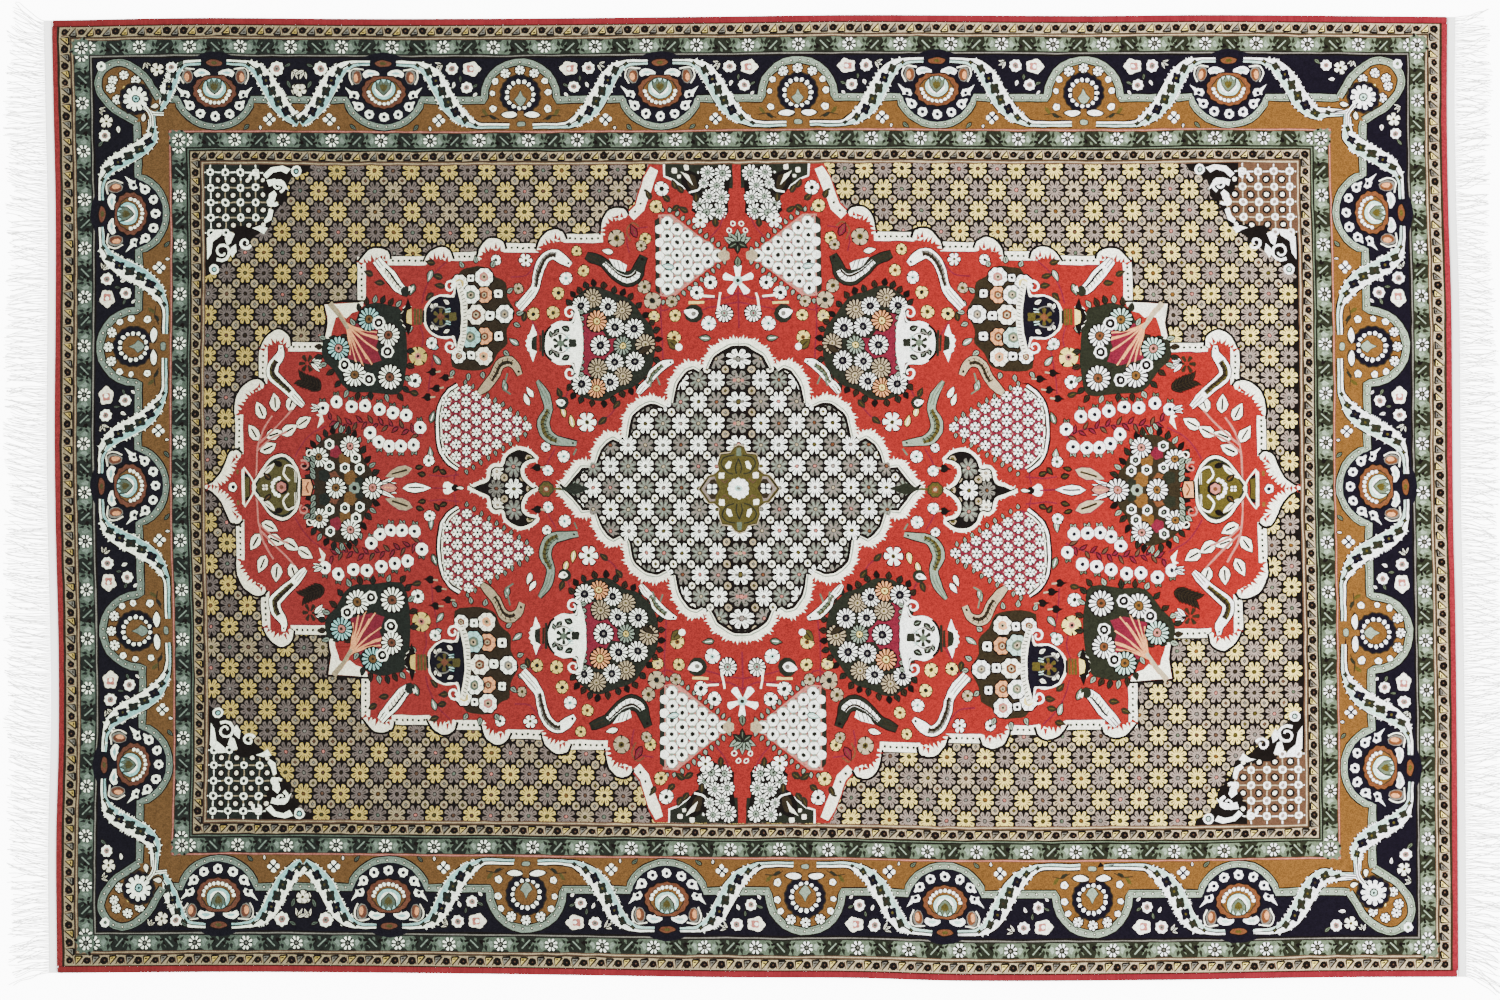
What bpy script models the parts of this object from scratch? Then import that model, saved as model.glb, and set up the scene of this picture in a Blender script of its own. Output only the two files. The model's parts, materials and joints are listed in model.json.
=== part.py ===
"""A hand-knotted Persian rug, laid flat: knotted body, two overcast side cords, two flat-woven ends, two fringes.

Units are metres and +Z is up. The warps run along X, so the fringes stand at the -X (left) and +X (right) ends and the
overcast cords run along the +Y (far) and -Y (near) sides. The rug rests on Z = 0 and its box is centred on the origin.
"""

import math
import random

import bmesh
import bpy

# Driving dimensions
KNOT = 0.0011  # one knot of the pile, along and across
LENGTH = 1396 * KNOT  # the body, from red end stripe to red end stripe
WIDTH = 960 * KNOT  # over both side cords
BODY_THICK = 0.0042  # foundation and pile
PILE_ROUND = 0.0011  # how the pile rolls off at the rim
CORD_WIDE = 0.0072  # a side cord, overcast in red
CORD_THICK = 0.0048
WEB_WIDE = 0.0088  # the flat-woven web at each end
WEB_THICK = 0.0016
FRINGE_THICK = 0.0016
FRINGE_ROOT = 0.0020  # the strip that ties the fringe's locks together
GAP = 0.0003  # between neighbouring pieces

HALF_LENGTH = LENGTH / 2
HALF_WIDTH = WIDTH / 2
CORNER_ROUND = 0.0030

# How far each edge strays outwards from its straight line, in knots, at places given as shares of the edge from
# its -X or -Y end to its other end.
FAR_EDGE = (
    # (share, out)
    (0.00, -3.5),
    (0.10, -1.0),
    (0.22, -2.0),
    (0.34, -1.5),
    (0.48, 0.5),
    (0.57, 2.0),
    (0.74, 1.0),
    (0.83, 2.0),
    (1.00, 0.0),
)
NEAR_EDGE = (
    # (share, out)
    (0.00, -3.0),
    (0.14, -4.0),
    (0.31, -2.0),
    (0.48, 1.5),
    (0.57, 2.0),
    (0.65, 5.0),
    (0.80, 4.0),
    (0.91, 1.5),
    (1.00, 1.0),
)
LEFT_EDGE = (
    # (share, out)
    (0.00, -0.5),
    (0.14, 0.5),
    (0.24, -2.0),
    (0.34, -2.0),
    (0.47, 1.0),
    (0.57, 2.0),
    (0.70, 1.0),
    (0.80, 1.0),
    (0.90, 3.0),
    (1.00, 5.0),
)
RIGHT_EDGE = (
    # (share, out)
    (0.00, 6.0),
    (0.19, 5.0),
    (0.38, 3.0),
    (0.47, 1.0),
    (0.57, 0.0),
    (0.70, -1.0),
    (0.80, -4.0),
    (0.90, -5.5),
    (1.00, -5.0),
)

# The fringe's locks, at places given as shares of the end from its -Y corner to its +Y corner: how long they are and
# how far their tips lie towards +Y, both in knots.
LEFT_LOCKS = (
    # (share, long, lean)
    (0.00, 34, -9),
    (0.06, 36, -3),
    (0.15, 38, 8),
    (0.26, 42, 9),
    (0.40, 41, 3),
    (0.55, 38, 5),
    (0.70, 40, -2),
    (0.82, 36, 7),
    (0.90, 39, 1),
    (1.00, 28, 15),
)
RIGHT_LOCKS = (
    # (share, long, lean)
    (0.00, 33, -30),
    (0.05, 35, -20),
    (0.14, 36, -9),
    (0.30, 37, -6),
    (0.46, 36, -9),
    (0.60, 37, -4),
    (0.74, 30, -6),
    (0.84, 31, 2),
    (0.93, 35, -2),
    (1.00, 27, 4),
)
LOCKS = 84  # along each end
LOCK_ROOT = 0.80  # a lock's width where it leaves the strip, as a share of the spacing
LOCK_TIP = 0.42
LOCK_UNEVEN = 3.0  # how much neighbouring locks differ in length, in knots

SIDE_STATIONS = 56
END_STATIONS = 40


def between(table, share, column=1):
    """The table's column at this share of an edge, on a smooth curve through its rows."""
    rows = [r for r in table]
    i = max(k for k, r in enumerate(rows[:-1]) if r[0] <= share + 1e-9)
    low, high = rows[i], rows[i + 1]
    before, after = rows[max(i - 1, 0)], rows[min(i + 2, len(rows) - 1)]
    span = high[0] - low[0]
    t = (share - low[0]) / span
    slope_low = (high[column] - before[column]) / max(high[0] - before[0], 1e-9) * span
    slope_high = (after[column] - low[column]) / max(after[0] - low[0], 1e-9) * span
    return (
        low[column] * (2 * t**3 - 3 * t**2 + 1)
        + slope_low * (t**3 - 2 * t**2 + t)
        + high[column] * (3 * t**2 - 2 * t**3)
        + slope_high * (t**3 - t**2)
    )


def share_of(place, half):
    return min(1.0, max(0.0, (place + half) / (2 * half)))


def far_y(x):
    return HALF_WIDTH + KNOT * between(FAR_EDGE, share_of(x, HALF_LENGTH))


def near_y(x):
    return -HALF_WIDTH - KNOT * between(NEAR_EDGE, share_of(x, HALF_LENGTH))


def left_x(y):
    return -HALF_LENGTH - KNOT * between(LEFT_EDGE, share_of(y, HALF_WIDTH))


def right_x(y):
    return HALF_LENGTH + KNOT * between(RIGHT_EDGE, share_of(y, HALF_WIDTH))


def steps(low, high, count):
    return [low + (high - low) * i / count for i in range(count + 1)]


def rounded_corner(corner, before, after, radius, pieces=3):
    """Points of an arc that replaces a corner, from the side that ends in it to the side that leaves it."""
    corner_x, corner_y = corner
    start = unit_to(corner, before)
    end = unit_to(corner, after)
    points = []
    for t in steps(0.0, 1.0, pieces):
        a, b = (1 - t) ** 2, t**2
        points.append(
            (
                corner_x + radius * (a * start[0] + b * end[0]),
                corner_y + radius * (a * start[1] + b * end[1]),
            )
        )
    return points


def unit_to(origin, target):
    dx, dy = target[0] - origin[0], target[1] - origin[1]
    size = math.hypot(dx, dy)
    return dx / size, dy / size


def body_outline():
    """The knotted body's rim, counter-clockwise from the near left corner, inside the side cords."""
    inset = CORD_WIDE + GAP
    near = lambda x: near_y(x) + inset
    far = lambda x: far_y(x) - inset
    near_left = (left_x(-HALF_WIDTH), near(-HALF_LENGTH))
    near_right = (right_x(-HALF_WIDTH), near(HALF_LENGTH))
    far_right = (right_x(HALF_WIDTH), far(HALF_LENGTH))
    far_left = (left_x(HALF_WIDTH), far(-HALF_LENGTH))
    sides = (
        [(x, near(x)) for x in steps(near_left[0], near_right[0], SIDE_STATIONS)],
        [(right_x(y), y) for y in steps(near_right[1], far_right[1], END_STATIONS)],
        [(x, far(x)) for x in steps(far_right[0], far_left[0], SIDE_STATIONS)],
        [(left_x(y), y) for y in steps(far_left[1], near_left[1], END_STATIONS)],
    )
    outline = []
    for side, following in zip(sides, sides[1:] + sides[:1]):
        outline += side[1:-1]
        outline += rounded_corner(side[-1], side[-2], following[1], CORNER_ROUND)
    return outline


def yarn(name, colour, roughness):
    material = bpy.data.materials.new(name)
    material.use_nodes = True
    shader = material.node_tree.nodes["Principled BSDF"]
    shader.inputs["Base Color"].default_value = (*colour, 1.0)
    shader.inputs["Roughness"].default_value = roughness
    shader.inputs["Metallic"].default_value = 0.0
    return material


def place(name, mesh_data, material):
    """Puts a finished bmesh into the scene as one named object."""
    bmesh.ops.recalc_face_normals(mesh_data, faces=mesh_data.faces)
    mesh = bpy.data.meshes.new(name)
    mesh_data.to_mesh(mesh)
    mesh_data.free()
    mesh.materials.append(material)
    obj = bpy.data.objects.new(name, mesh)
    bpy.context.scene.collection.objects.link(obj)
    return obj


def slab(name, outline, thick, material, rim=0.0):
    """A flat piece of this outline, resting on Z = 0, its upper rim rolled off by rim."""
    made = bmesh.new()
    base = made.faces.new([made.verts.new((x, y, 0.0)) for x, y in outline])
    grown = bmesh.ops.extrude_face_region(made, geom=[base], use_keep_orig=True)
    top = [v for v in grown["geom"] if isinstance(v, bmesh.types.BMVert)]
    bmesh.ops.translate(made, verts=top, vec=(0.0, 0.0, thick))
    if rim:
        upper = set(top)
        edges = [e for e in made.edges if e.verts[0] in upper and e.verts[1] in upper]
        bmesh.ops.bevel(made, geom=edges, offset=rim, segments=2, profile=0.5, affect="EDGES")
    return place(name, made, material)


def cord_section():
    """Across a side cord: (out, up) round an oval with a flat underside, out from its middle."""
    points = []
    for i in range(12):
        turn = 2 * math.pi * i / 12
        out = CORD_WIDE / 2 * math.cos(turn)
        up = CORD_THICK / 2 * (1 + math.sin(turn) * 1.16)
        points.append((out, min(max(up, 0.0), CORD_THICK)))
    return points


def side_cord(name, edge, outwards, material):
    """An overcast cord along one long side; edge(x) is its outer edge and outwards is +1 or -1 in Y."""
    made = bmesh.new()
    section = cord_section()
    ring_before = None
    for x in steps(left_x(outwards * HALF_WIDTH), right_x(outwards * HALF_WIDTH), SIDE_STATIONS):
        middle = edge(x) - outwards * CORD_WIDE / 2
        ring = [made.verts.new((x, middle + outwards * out, up)) for out, up in section]
        if ring_before is None:
            made.faces.new(ring)
        else:
            for i, vert in enumerate(ring):
                j = (i + 1) % len(ring)
                made.faces.new((vert, ring[j], ring_before[j], ring_before[i]))
        ring_before = ring
    made.faces.new(ring_before)
    return place(name, made, material)


def end_web(name, edge, outwards, material):
    """The flat-woven strip beyond the pile; edge(y) is the body's end and outwards is +1 or -1 in X."""
    low, high = near_y(outwards * HALF_LENGTH), far_y(outwards * HALF_LENGTH)
    places = steps(low, high, END_STATIONS)
    inner = [(edge(y) + outwards * GAP, y) for y in places]
    outer = [(x + outwards * WEB_WIDE, y) for x, y in reversed(inner)]
    return slab(name, inner + outer, WEB_THICK, material)


def fringe(name, edge, outwards, locks, material, seed):
    """One comb: a narrow strip along the web and its locks, each leaning and as long as the table says."""
    uneven = random.Random(seed)
    low, high = near_y(outwards * HALF_LENGTH), far_y(outwards * HALF_LENGTH)
    spacing = (high - low) / LOCKS
    root_x = lambda y: edge(y) + outwards * (GAP * 2 + WEB_WIDE)
    back = [(root_x(y), y) for y in steps(low, high, END_STATIONS)]
    front = []
    for i in reversed(range(LOCKS)):
        middle = low + spacing * (i + 0.5)
        share = (i + 0.5) / LOCKS
        long = KNOT * (between(locks, share, 1) + LOCK_UNEVEN * uneven.uniform(-1, 1))
        lean = KNOT * between(locks, share, 2)
        root = root_x(middle) + outwards * FRINGE_ROOT
        for side, width in ((1, LOCK_ROOT), (None, LOCK_TIP), (-1, LOCK_ROOT)):
            if side is not None:
                front.append((root, middle + side * spacing * width / 2))
                continue
            tip_x = root + outwards * long
            front.append((tip_x, middle + lean + spacing * width / 2))
            front.append((tip_x, middle + lean - spacing * width / 2))
    return slab(name, back + front, FRINGE_THICK, material)


def centre_on_origin(objects):
    """Slides the whole rug in X and Y until its box is centred on the origin."""
    places = [v.co for obj in objects for v in obj.data.vertices]
    shift = [-(max(p[k] for p in places) + min(p[k] for p in places)) / 2 for k in (0, 1)]
    for obj in objects:
        for vertex in obj.data.vertices:
            vertex.co.x += shift[0]
            vertex.co.y += shift[1]


def main():
    for obj in list(bpy.data.objects):
        bpy.data.objects.remove(obj)

    pile = yarn("pile_silk", (0.36, 0.13, 0.10), 0.62)
    overcast = yarn("overcast_red", (0.50, 0.06, 0.05), 0.60)
    cotton = yarn("cotton_white", (0.86, 0.86, 0.84), 0.85)

    made = [
        slab("rug_body", body_outline(), BODY_THICK, pile, rim=PILE_ROUND),
        side_cord("side_cord_far", far_y, 1, overcast),
        side_cord("side_cord_near", near_y, -1, overcast),
        end_web("end_web_left", left_x, -1, cotton),
        end_web("end_web_right", right_x, 1, cotton),
        fringe("fringe_left", left_x, -1, LEFT_LOCKS, cotton, seed=11),
        fringe("fringe_right", right_x, 1, RIGHT_LOCKS, cotton, seed=23),
    ]
    centre_on_origin(made)


main()
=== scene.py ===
"""Hand-knotted medallion rug: the pile with its drawn design, the back, the side cords, the end webs,
the fringes and the stage. All design positions are in knots from the middle of the rug."""

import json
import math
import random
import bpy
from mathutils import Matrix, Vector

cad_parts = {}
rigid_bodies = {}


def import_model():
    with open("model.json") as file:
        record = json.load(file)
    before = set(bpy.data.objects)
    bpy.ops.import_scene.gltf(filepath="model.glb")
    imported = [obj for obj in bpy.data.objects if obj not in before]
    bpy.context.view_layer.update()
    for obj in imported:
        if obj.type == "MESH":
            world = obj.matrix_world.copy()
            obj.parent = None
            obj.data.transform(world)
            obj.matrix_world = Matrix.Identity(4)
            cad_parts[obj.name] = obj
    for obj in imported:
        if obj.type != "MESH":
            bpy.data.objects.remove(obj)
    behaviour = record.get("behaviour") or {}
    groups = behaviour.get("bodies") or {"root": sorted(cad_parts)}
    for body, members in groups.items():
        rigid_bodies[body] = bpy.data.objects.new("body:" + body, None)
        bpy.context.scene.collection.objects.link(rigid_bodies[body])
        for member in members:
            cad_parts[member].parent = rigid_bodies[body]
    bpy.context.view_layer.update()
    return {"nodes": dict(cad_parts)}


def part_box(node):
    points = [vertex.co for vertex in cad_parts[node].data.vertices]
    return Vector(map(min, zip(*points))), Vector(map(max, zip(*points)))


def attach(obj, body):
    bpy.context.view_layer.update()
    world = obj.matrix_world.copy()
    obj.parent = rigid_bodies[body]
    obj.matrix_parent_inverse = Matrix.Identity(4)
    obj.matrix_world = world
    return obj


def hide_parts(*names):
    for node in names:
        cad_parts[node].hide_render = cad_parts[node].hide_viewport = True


bl_info = {
    "name": "Medallion Rug",
    "version": (1, 0, 0),
    "blender": (4, 5, 0),
    "location": "3D View > Sidebar > Rug",
    "description": "Builds a fine hand-knotted rug from a drawn cartoon, knot by knot in scale",
    "category": "Add Mesh",
}

from functools import lru_cache

import bpy
import numpy as np
from bpy.props import FloatProperty, FloatVectorProperty, IntProperty, PointerProperty
from mathutils import Vector
from mathutils.geometry import delaunay_2d_cdt

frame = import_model()
TAU = 2 * math.pi

# ---------------------------------------------------------------- sizes, in knots

BODY_X, BODY_Y = 698.0, 473.2  # half of the knotted body
STRIPE = 6.8  # plain red stripe at each end
SQUARE_X, SQUARE_Y = BODY_X - STRIPE, BODY_Y  # outer edge of the borders
BANDS = (12.4, 15.2, 30.4, 34.4, 108.6, 111.2, 126.4, 129.6, 140.6, 144.3)
MAIN_DEEP = BANDS[4] - BANDS[3]
MAIN_X, MAIN_Y = SQUARE_X - BANDS[3], SQUARE_Y - BANDS[3]
FIELD_X, FIELD_Y = SQUARE_X - BANDS[9], SQUARE_Y - BANDS[9]
DIVIDER = 43.0  # how far in the two grounds of the main border meet

# yarn: (its colour in painted shade, at the rug's left; its colour with painted sheen, at the rug's right)
YARN_TABLE = {
    "red": ("#9C4740", "#C65A4C"),
    "crimson": ("#8A3A42", "#A94756"),
    "edge_red": ("#9C4743", "#BC585A"),
    "ivory": ("#D6D5CC", "#F2EEE6"),
    "white": ("#DCDED8", "#F6F4EE"),
    "aqua": ("#A6C1BE", "#D6DFDB"),
    "pale_green": ("#8A968C", "#BCC3B8"),
    "grey_green": ("#6A776B", "#97A08D"),
    "dark_green": ("#262C27", "#3F402D"),
    "navy": ("#16161F", "#1B1728"),
    "black": ("#171210", "#1D1512"),
    "gold": ("#7B5D3C", "#A67C4E"),
    "rust": ("#7A5140", "#A4704F"),
    "olive": ("#5F5836", "#83733D"),
    "brown": ("#352B20", "#4E3F29"),
    "cream": ("#A89E88", "#D0C6B6"),
    "butter": ("#BDAE80", "#E6DDBE"),
    "mauve": ("#7C746F", "#C0B5AE"),
    "pink": ("#B88A80", "#D3A89E"),
    "peach": ("#CFAA8C", "#E3C2A6"),
    "line_brown": ("#6E5443", "#8F6D57"),
    "grey": ("#8B8B83", "#A5A19A"),
}
YARN_NAMES = list(YARN_TABLE)


def shade(text):
    """Red, green and blue from 0 to 1, as seen on a display."""
    return tuple(int(text[i:i + 2], 16) / 255 for i in (1, 3, 5))


def to_linear(c):
    c = np.asarray(c, float)
    return np.where(c <= 0.04045, c / 12.92, ((c + 0.055) / 1.055) ** 2.4)


LIGHT = 3.2  # how brightly the studio lights the rug
FLOOR_GLOW = 8.0  # keeps the floor white in every view
SOFTBOXES = ((-3.2, 2.6), (3.4, -1.8))  # where the two lamps hang
SOFTBOX_HIGH, SOFTBOX_WIDE, SOFTBOX_POWER = 3.4, 2.4, 200
CAMERA_HIGH = 6.0
VIEW_WIDE = 1500  # what the camera takes in, in knots
VIEW_ASIDE, VIEW_NEARER = 5, 2  # how far the view's middle is left of and nearer than the rug's, in knots
TO_WIDE = np.array(((0.6274, 0.3293, 0.0433), (0.0691, 0.9195, 0.0114), (0.0164, 0.0880, 0.8956)))
INSET = np.array(((0.8566, 0.0951, 0.0483), (0.1373, 0.7612, 0.1015), (0.1119, 0.0768, 0.8113)))
OUTSET = np.array(((1.1271, -0.1106, -0.0165), (-0.1413, 1.1578, -0.0165), (-0.1413, -0.1106, 1.2519)))
CURVE = (15.5, -40.14, 31.96, -6.868, 0.4298, 0.1191, -0.00232)


def dye(seen):
    """The yarn's own colour, for one seen as given in the stage's light through the usual AgX view."""
    stops = np.linspace(0.25, 1.0, 400)
    shown = np.clip(np.polyval(CURVE, stops), 0, 1)
    wide = np.clip(TO_WIDE @ to_linear(seen), 0, 1) ** (1 / 2.2)
    level = np.interp(np.linalg.solve(OUTSET, wide), shown, stops)
    light = np.linalg.solve(TO_WIDE, np.linalg.solve(INSET, 2 ** (level * 16.5 - 12.47393)))
    return tuple(np.clip(light / LIGHT, 0.0004, 0.9))


# ---------------------------------------------------------------- small tools

def ring_of(count, radius, wide=1.0, tall=1.0, turn=0.0):
    a = turn + np.arange(count) * TAU / count
    return np.column_stack((radius * wide * np.cos(a), radius * tall * np.sin(a)))


def lobed(lobes, radius, dip, wide=1.0, tall=1.0, turn=0.0):
    """Round outline of even lobes, with four points to a lobe."""
    a = np.arange(lobes * 4) * TAU / (lobes * 4)
    r = radius * (1 - dip * (0.5 + 0.5 * np.cos(lobes * a)))
    return np.column_stack((r * wide * np.cos(a + turn), r * tall * np.sin(a + turn)))


def curve(points, per=4, closed=False):
    """Smooth curve through the points."""
    p = np.asarray(points, float)
    n = len(p)
    if closed:
        around = [p[(i + k) % n] for i in range(n) for k in (-1, 0, 1, 2)]
        spans = n
    else:
        q = np.vstack((2 * p[0] - p[1], p, 2 * p[-1] - p[-2]))
        around = [q[i + k] for i in range(n - 1) for k in range(4)]
        spans = n - 1
    out = []
    for i in range(spans):
        a, b, c, d = around[4 * i:4 * i + 4]
        for k in range(per):
            t = k / per
            out.append(0.5 * (2 * b + (c - a) * t + (2 * a - 5 * b + 4 * c - d) * t * t
                              + (3 * b - a - 3 * c + d) * t ** 3))
    if not closed:
        out.append(p[-1])
    return np.array(out)


def walked(points, step, start=0.0):
    """Places and directions at even steps along a line."""
    p = np.asarray(points, float)
    d = np.linalg.norm(np.diff(p, axis=0), axis=1)
    run = np.concatenate(([0], np.cumsum(d)))
    at = np.arange(start, run[-1], step)
    x = np.interp(at, run, p[:, 0])
    y = np.interp(at, run, p[:, 1])
    k = np.clip(np.searchsorted(run, at, side="right") - 1, 0, len(d) - 1)
    way = (p[k + 1] - p[k]) / np.maximum(d[k], 1e-9)[:, None]
    return [(x[i], y[i], math.atan2(way[i, 1], way[i, 0])) for i in range(len(at))]


def offset(points, out):
    """The line moved to its left by out, which is one number or one for each point."""
    p = np.asarray(points, float)
    way = np.gradient(p, axis=0)
    way /= np.maximum(np.linalg.norm(way, axis=1), 1e-9)[:, None]
    side = np.column_stack((-way[:, 1], way[:, 0]))
    return p + side * np.broadcast_to(np.asarray(out, float), (len(p),))[:, None]


def soft_noise(x, y, cell, seed):
    """Smooth noise from -1 to 1."""
    grid = np.random.default_rng(seed).uniform(-1, 1, (128, 128))
    gx, gy = np.asarray(x) / cell + 64.3, np.asarray(y) / cell + 64.7
    ix, iy = np.floor(gx).astype(int), np.floor(gy).astype(int)
    fx, fy = gx - ix, gy - iy
    fx, fy = fx * fx * (3 - 2 * fx), fy * fy * (3 - 2 * fy)
    a, b = grid[ix % 128, iy % 128], grid[(ix + 1) % 128, iy % 128]
    c, d = grid[ix % 128, (iy + 1) % 128], grid[(ix + 1) % 128, (iy + 1) % 128]
    return (a * (1 - fx) + b * fx) * (1 - fy) + (c * (1 - fx) + d * fx) * fy


# ---------------------------------------------------------------- the cartoon

class Cartoon:
    """The weaver's drawing: coloured shapes, each laid over the ones before."""

    def __init__(self):
        self.shapes = []
        self.yarns = []
        self.tints = []
        self.charts = []
        self.chart = STRAIGHT
        self.chance = random.Random(7)

    def add(self, points, yarn, tint=1.0):
        self.shapes.append(points)
        self.yarns.append(YARN_NAMES.index(yarn))
        self.tints.append(tint)
        self.charts.append(self.chart)

    def settle(self):
        """Moves each shape by its chart, turns it anticlockwise and drops slivers."""
        sizes = np.array([len(shape) for shape in self.shapes])
        points = np.vstack(self.shapes)
        kinds = np.repeat(self.charts, sizes)
        for kind, chart in enumerate(CHARTS):
            points[kinds == kind] = chart(points[kinds == kind])
        points = np.clip(points, (-BODY_X, -BODY_Y), (BODY_X, BODY_Y))
        starts = np.concatenate(([0], np.cumsum(sizes)))
        following = np.arange(1, len(points) + 1)
        following[starts[1:] - 1] = starts[:-1]
        q = points[following]
        area = np.add.reduceat(points[:, 0] * q[:, 1] - q[:, 0] * points[:, 1], starts[:-1]) / 2
        keep = np.flatnonzero(np.abs(area) > 0.05)
        self.shapes = [points[starts[i]:starts[i + 1]][::1 if area[i] > 0 else -1] for i in keep]
        self.yarns = np.array(self.yarns)[keep]
        self.tints = np.array(self.tints)[keep]
        self.low = np.array([shape.min(axis=0) for shape in self.shapes])
        self.high = np.array([shape.max(axis=0) for shape in self.shapes])


class Pen:
    """Draws on the cartoon in its own turned, sized or mirrored place."""

    def __init__(self, cartoon, turn=None, place=(0.0, 0.0)):
        self.cartoon = cartoon
        self.turn = np.eye(2) if turn is None else np.asarray(turn, float)
        self.place = np.asarray(place, float)

    def at(self, x, y, turn=0.0, size=1.0, flip=1.0):
        c, s = math.cos(turn) * size, math.sin(turn) * size
        m = self.turn @ np.array(((c, -s * flip), (s, c * flip)))
        return Pen(self.cartoon, m, self.turn @ np.array((x, y)) + self.place)

    def fill(self, points, yarn, uneven=0.05):
        p = np.asarray(points, float) @ self.turn.T + self.place
        tint = 1 + self.cartoon.chance.uniform(-uneven, uneven)
        self.cartoon.add(p, yarn, tint)

    def slab(self, points, yarn, step=14.0):
        """A big straight-sided shape, with points along its sides."""
        p = np.asarray(points, float)
        out = []
        for a, b in zip(p, np.roll(p, -1, axis=0)):
            n = max(1, int(np.linalg.norm(b - a) / step))
            out.extend(a + (b - a) * k / n for k in range(n))
        self.fill(out, yarn, 0.0)

    def line(self, points, width, yarn, uneven=0.05):
        p = np.asarray(points, float)
        w = np.broadcast_to(np.asarray(width, float) / 2, (len(p),))
        left, right = offset(p, w), offset(p, -w)
        m, o = self.turn.T, self.place
        left, right = left @ m + o, right @ m + o
        tint = 1 + self.cartoon.chance.uniform(-uneven, uneven)
        for i in range(len(p) - 1):
            quad = np.array((left[i], right[i], right[i + 1], left[i + 1]))
            around = np.roll(quad, -1, axis=0) - quad
            turns = around[:, 0] * np.roll(around[:, 1], -1) - around[:, 1] * np.roll(around[:, 0], -1)
            if turns.min() * turns.max() >= 0:
                self.cartoon.add(quad, yarn, tint)
            else:
                self.cartoon.add(quad[:3], yarn, tint)
                self.cartoon.add(quad[[0, 2, 3]], yarn, tint)

    def dot(self, x, y, radius, yarn, sides=7):
        self.fill(ring_of(sides, radius, turn=0.3) + (x, y), yarn)


# ---------------------------------------------------------------- motifs

def petals(pen, count, inner, outer, width, yarn, turn=0.0, uneven=0.07):
    """Even petals round a middle, each a rounded wedge."""
    for k in range(count):
        a = turn + k * TAU / count
        c, s = math.cos(a), math.sin(a)
        across = np.array((-s, c)) * width / 2
        out = np.array((c, s))
        pen.fill((out * inner - across * 0.45, out * (outer * 0.9) - across,
                  out * outer - across * 0.35, out * outer + across * 0.35,
                  out * (outer * 0.9) + across, out * inner + across * 0.45), yarn, uneven)


def daisy(pen, r, count=13, petal="white", ground="dark_green", heart="rust", eye="brown"):
    pen.fill(ring_of(12, r * 1.1), "black")
    petals(pen, count, r * 0.42, r, r * 0.26 * 13 / count, petal, 0.0, 0.16)
    pen.dot(0, 0, r * 0.42, ground, 9)
    pen.dot(0, 0, r * 0.34, heart, 8)
    pen.dot(0, 0, r * 0.15, eye, 5)


def bloom(pen, r, lobes=8, body="white", edge="black", inner="pink", heart="olive", eye="black"):
    """A full flower: lobed body, ring and eye."""
    pen.fill(lobed(lobes, r + 0.9, 0.1), edge)
    pen.fill(lobed(lobes, r, 0.16), body)
    pen.fill(lobed(6, r * 0.5, 0.12), inner)
    pen.dot(0, 0, r * 0.34, heart, 7)
    pen.dot(0, 0, r * 0.14, eye, 5)


def ring_flower(pen, r, body="white", hole="navy", tail=0.0):
    pen.fill(lobed(7, r, 0.12), body)
    pen.dot(0, 0, r * 0.4, hole, 6)
    if tail:
        pen.fill(((r * 0.3, r * 0.8), (r * 0.9, r * 0.2), (r * (1 + tail), r * (0.9 + tail))), body)


def star_flower(pen, r, count=6, body="white", heart="olive", eye=None):
    petals(pen, count, r * 0.1, r + 1.1, r * 0.62 * 6 / count + 1.8, "black")
    petals(pen, count, r * 0.16, r, r * 0.62 * 6 / count, body)
    pen.dot(0, 0, r * 0.26, heart, 6)
    if eye:
        pen.dot(0, 0, r * 0.12, eye, 5)


def rosette8(pen, r, body="white", hole="dark_green"):
    """Eight separate petals round a dark heart, as in the narrow guards."""
    pen.dot(0, 0, r * 1.02, hole, 8)
    petals(pen, 8, r * 0.44, r, r * 0.4, body, turn=TAU / 16)
    pen.dot(0, 0, r * 0.2, "grey", 5)


def leaf(pen, length, width, yarn, vein=None, edge="black", bend=0.0):
    t = np.array((0, 0.18, 0.45, 0.75, 1.0))
    half = np.array((0, 0.75, 1.0, 0.6, 0)) * width / 2
    mid = bend * length * np.sin(t * math.pi)
    x = t * length
    top = np.column_stack((x, mid + half))
    low = np.column_stack((x, mid - half))
    body = np.vstack((top, low[-2:0:-1]))
    if edge:
        middle = body.mean(axis=0)
        pen.fill(middle + (body - middle) * np.array((1 + 2.2 / length, 1 + 2.2 / width)), edge)
    pen.fill(body, yarn)
    if vein:
        pen.line(np.column_stack((x[1:4], mid[1:4])), max(0.8, width * 0.16), vein)


def curl(pen, r, turns, width, yarn, start=0.0, hand=1.0, eye=None):
    """A scroll that winds in to its middle."""
    a = np.linspace(0, turns * TAU, max(7, int(turns * 12)))
    rad = r * (1 - 0.72 * a / a[-1])
    p = np.column_stack((rad * np.cos(start + hand * a), rad * np.sin(start + hand * a)))
    pen.line(p, np.linspace(width, width * 0.6, len(a)), yarn)
    if eye:
        pen.dot(0, 0, r * 0.22, eye, 6)


def four_petal(pen, r, body="white", heart="navy"):
    pen.dot(0, 0, r * 0.75, heart, 8)
    for k in range(4):
        a = k * TAU / 4 + TAU / 8
        pen.dot(r * 0.6 * math.cos(a), r * 0.6 * math.sin(a), r * 0.42, body, 6)
    pen.line(((-r * 0.9, 0), (r * 0.9, 0)), r * 0.26, heart)
    pen.line(((0, -r * 0.9), (0, r * 0.9)), r * 0.26, heart)


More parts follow.
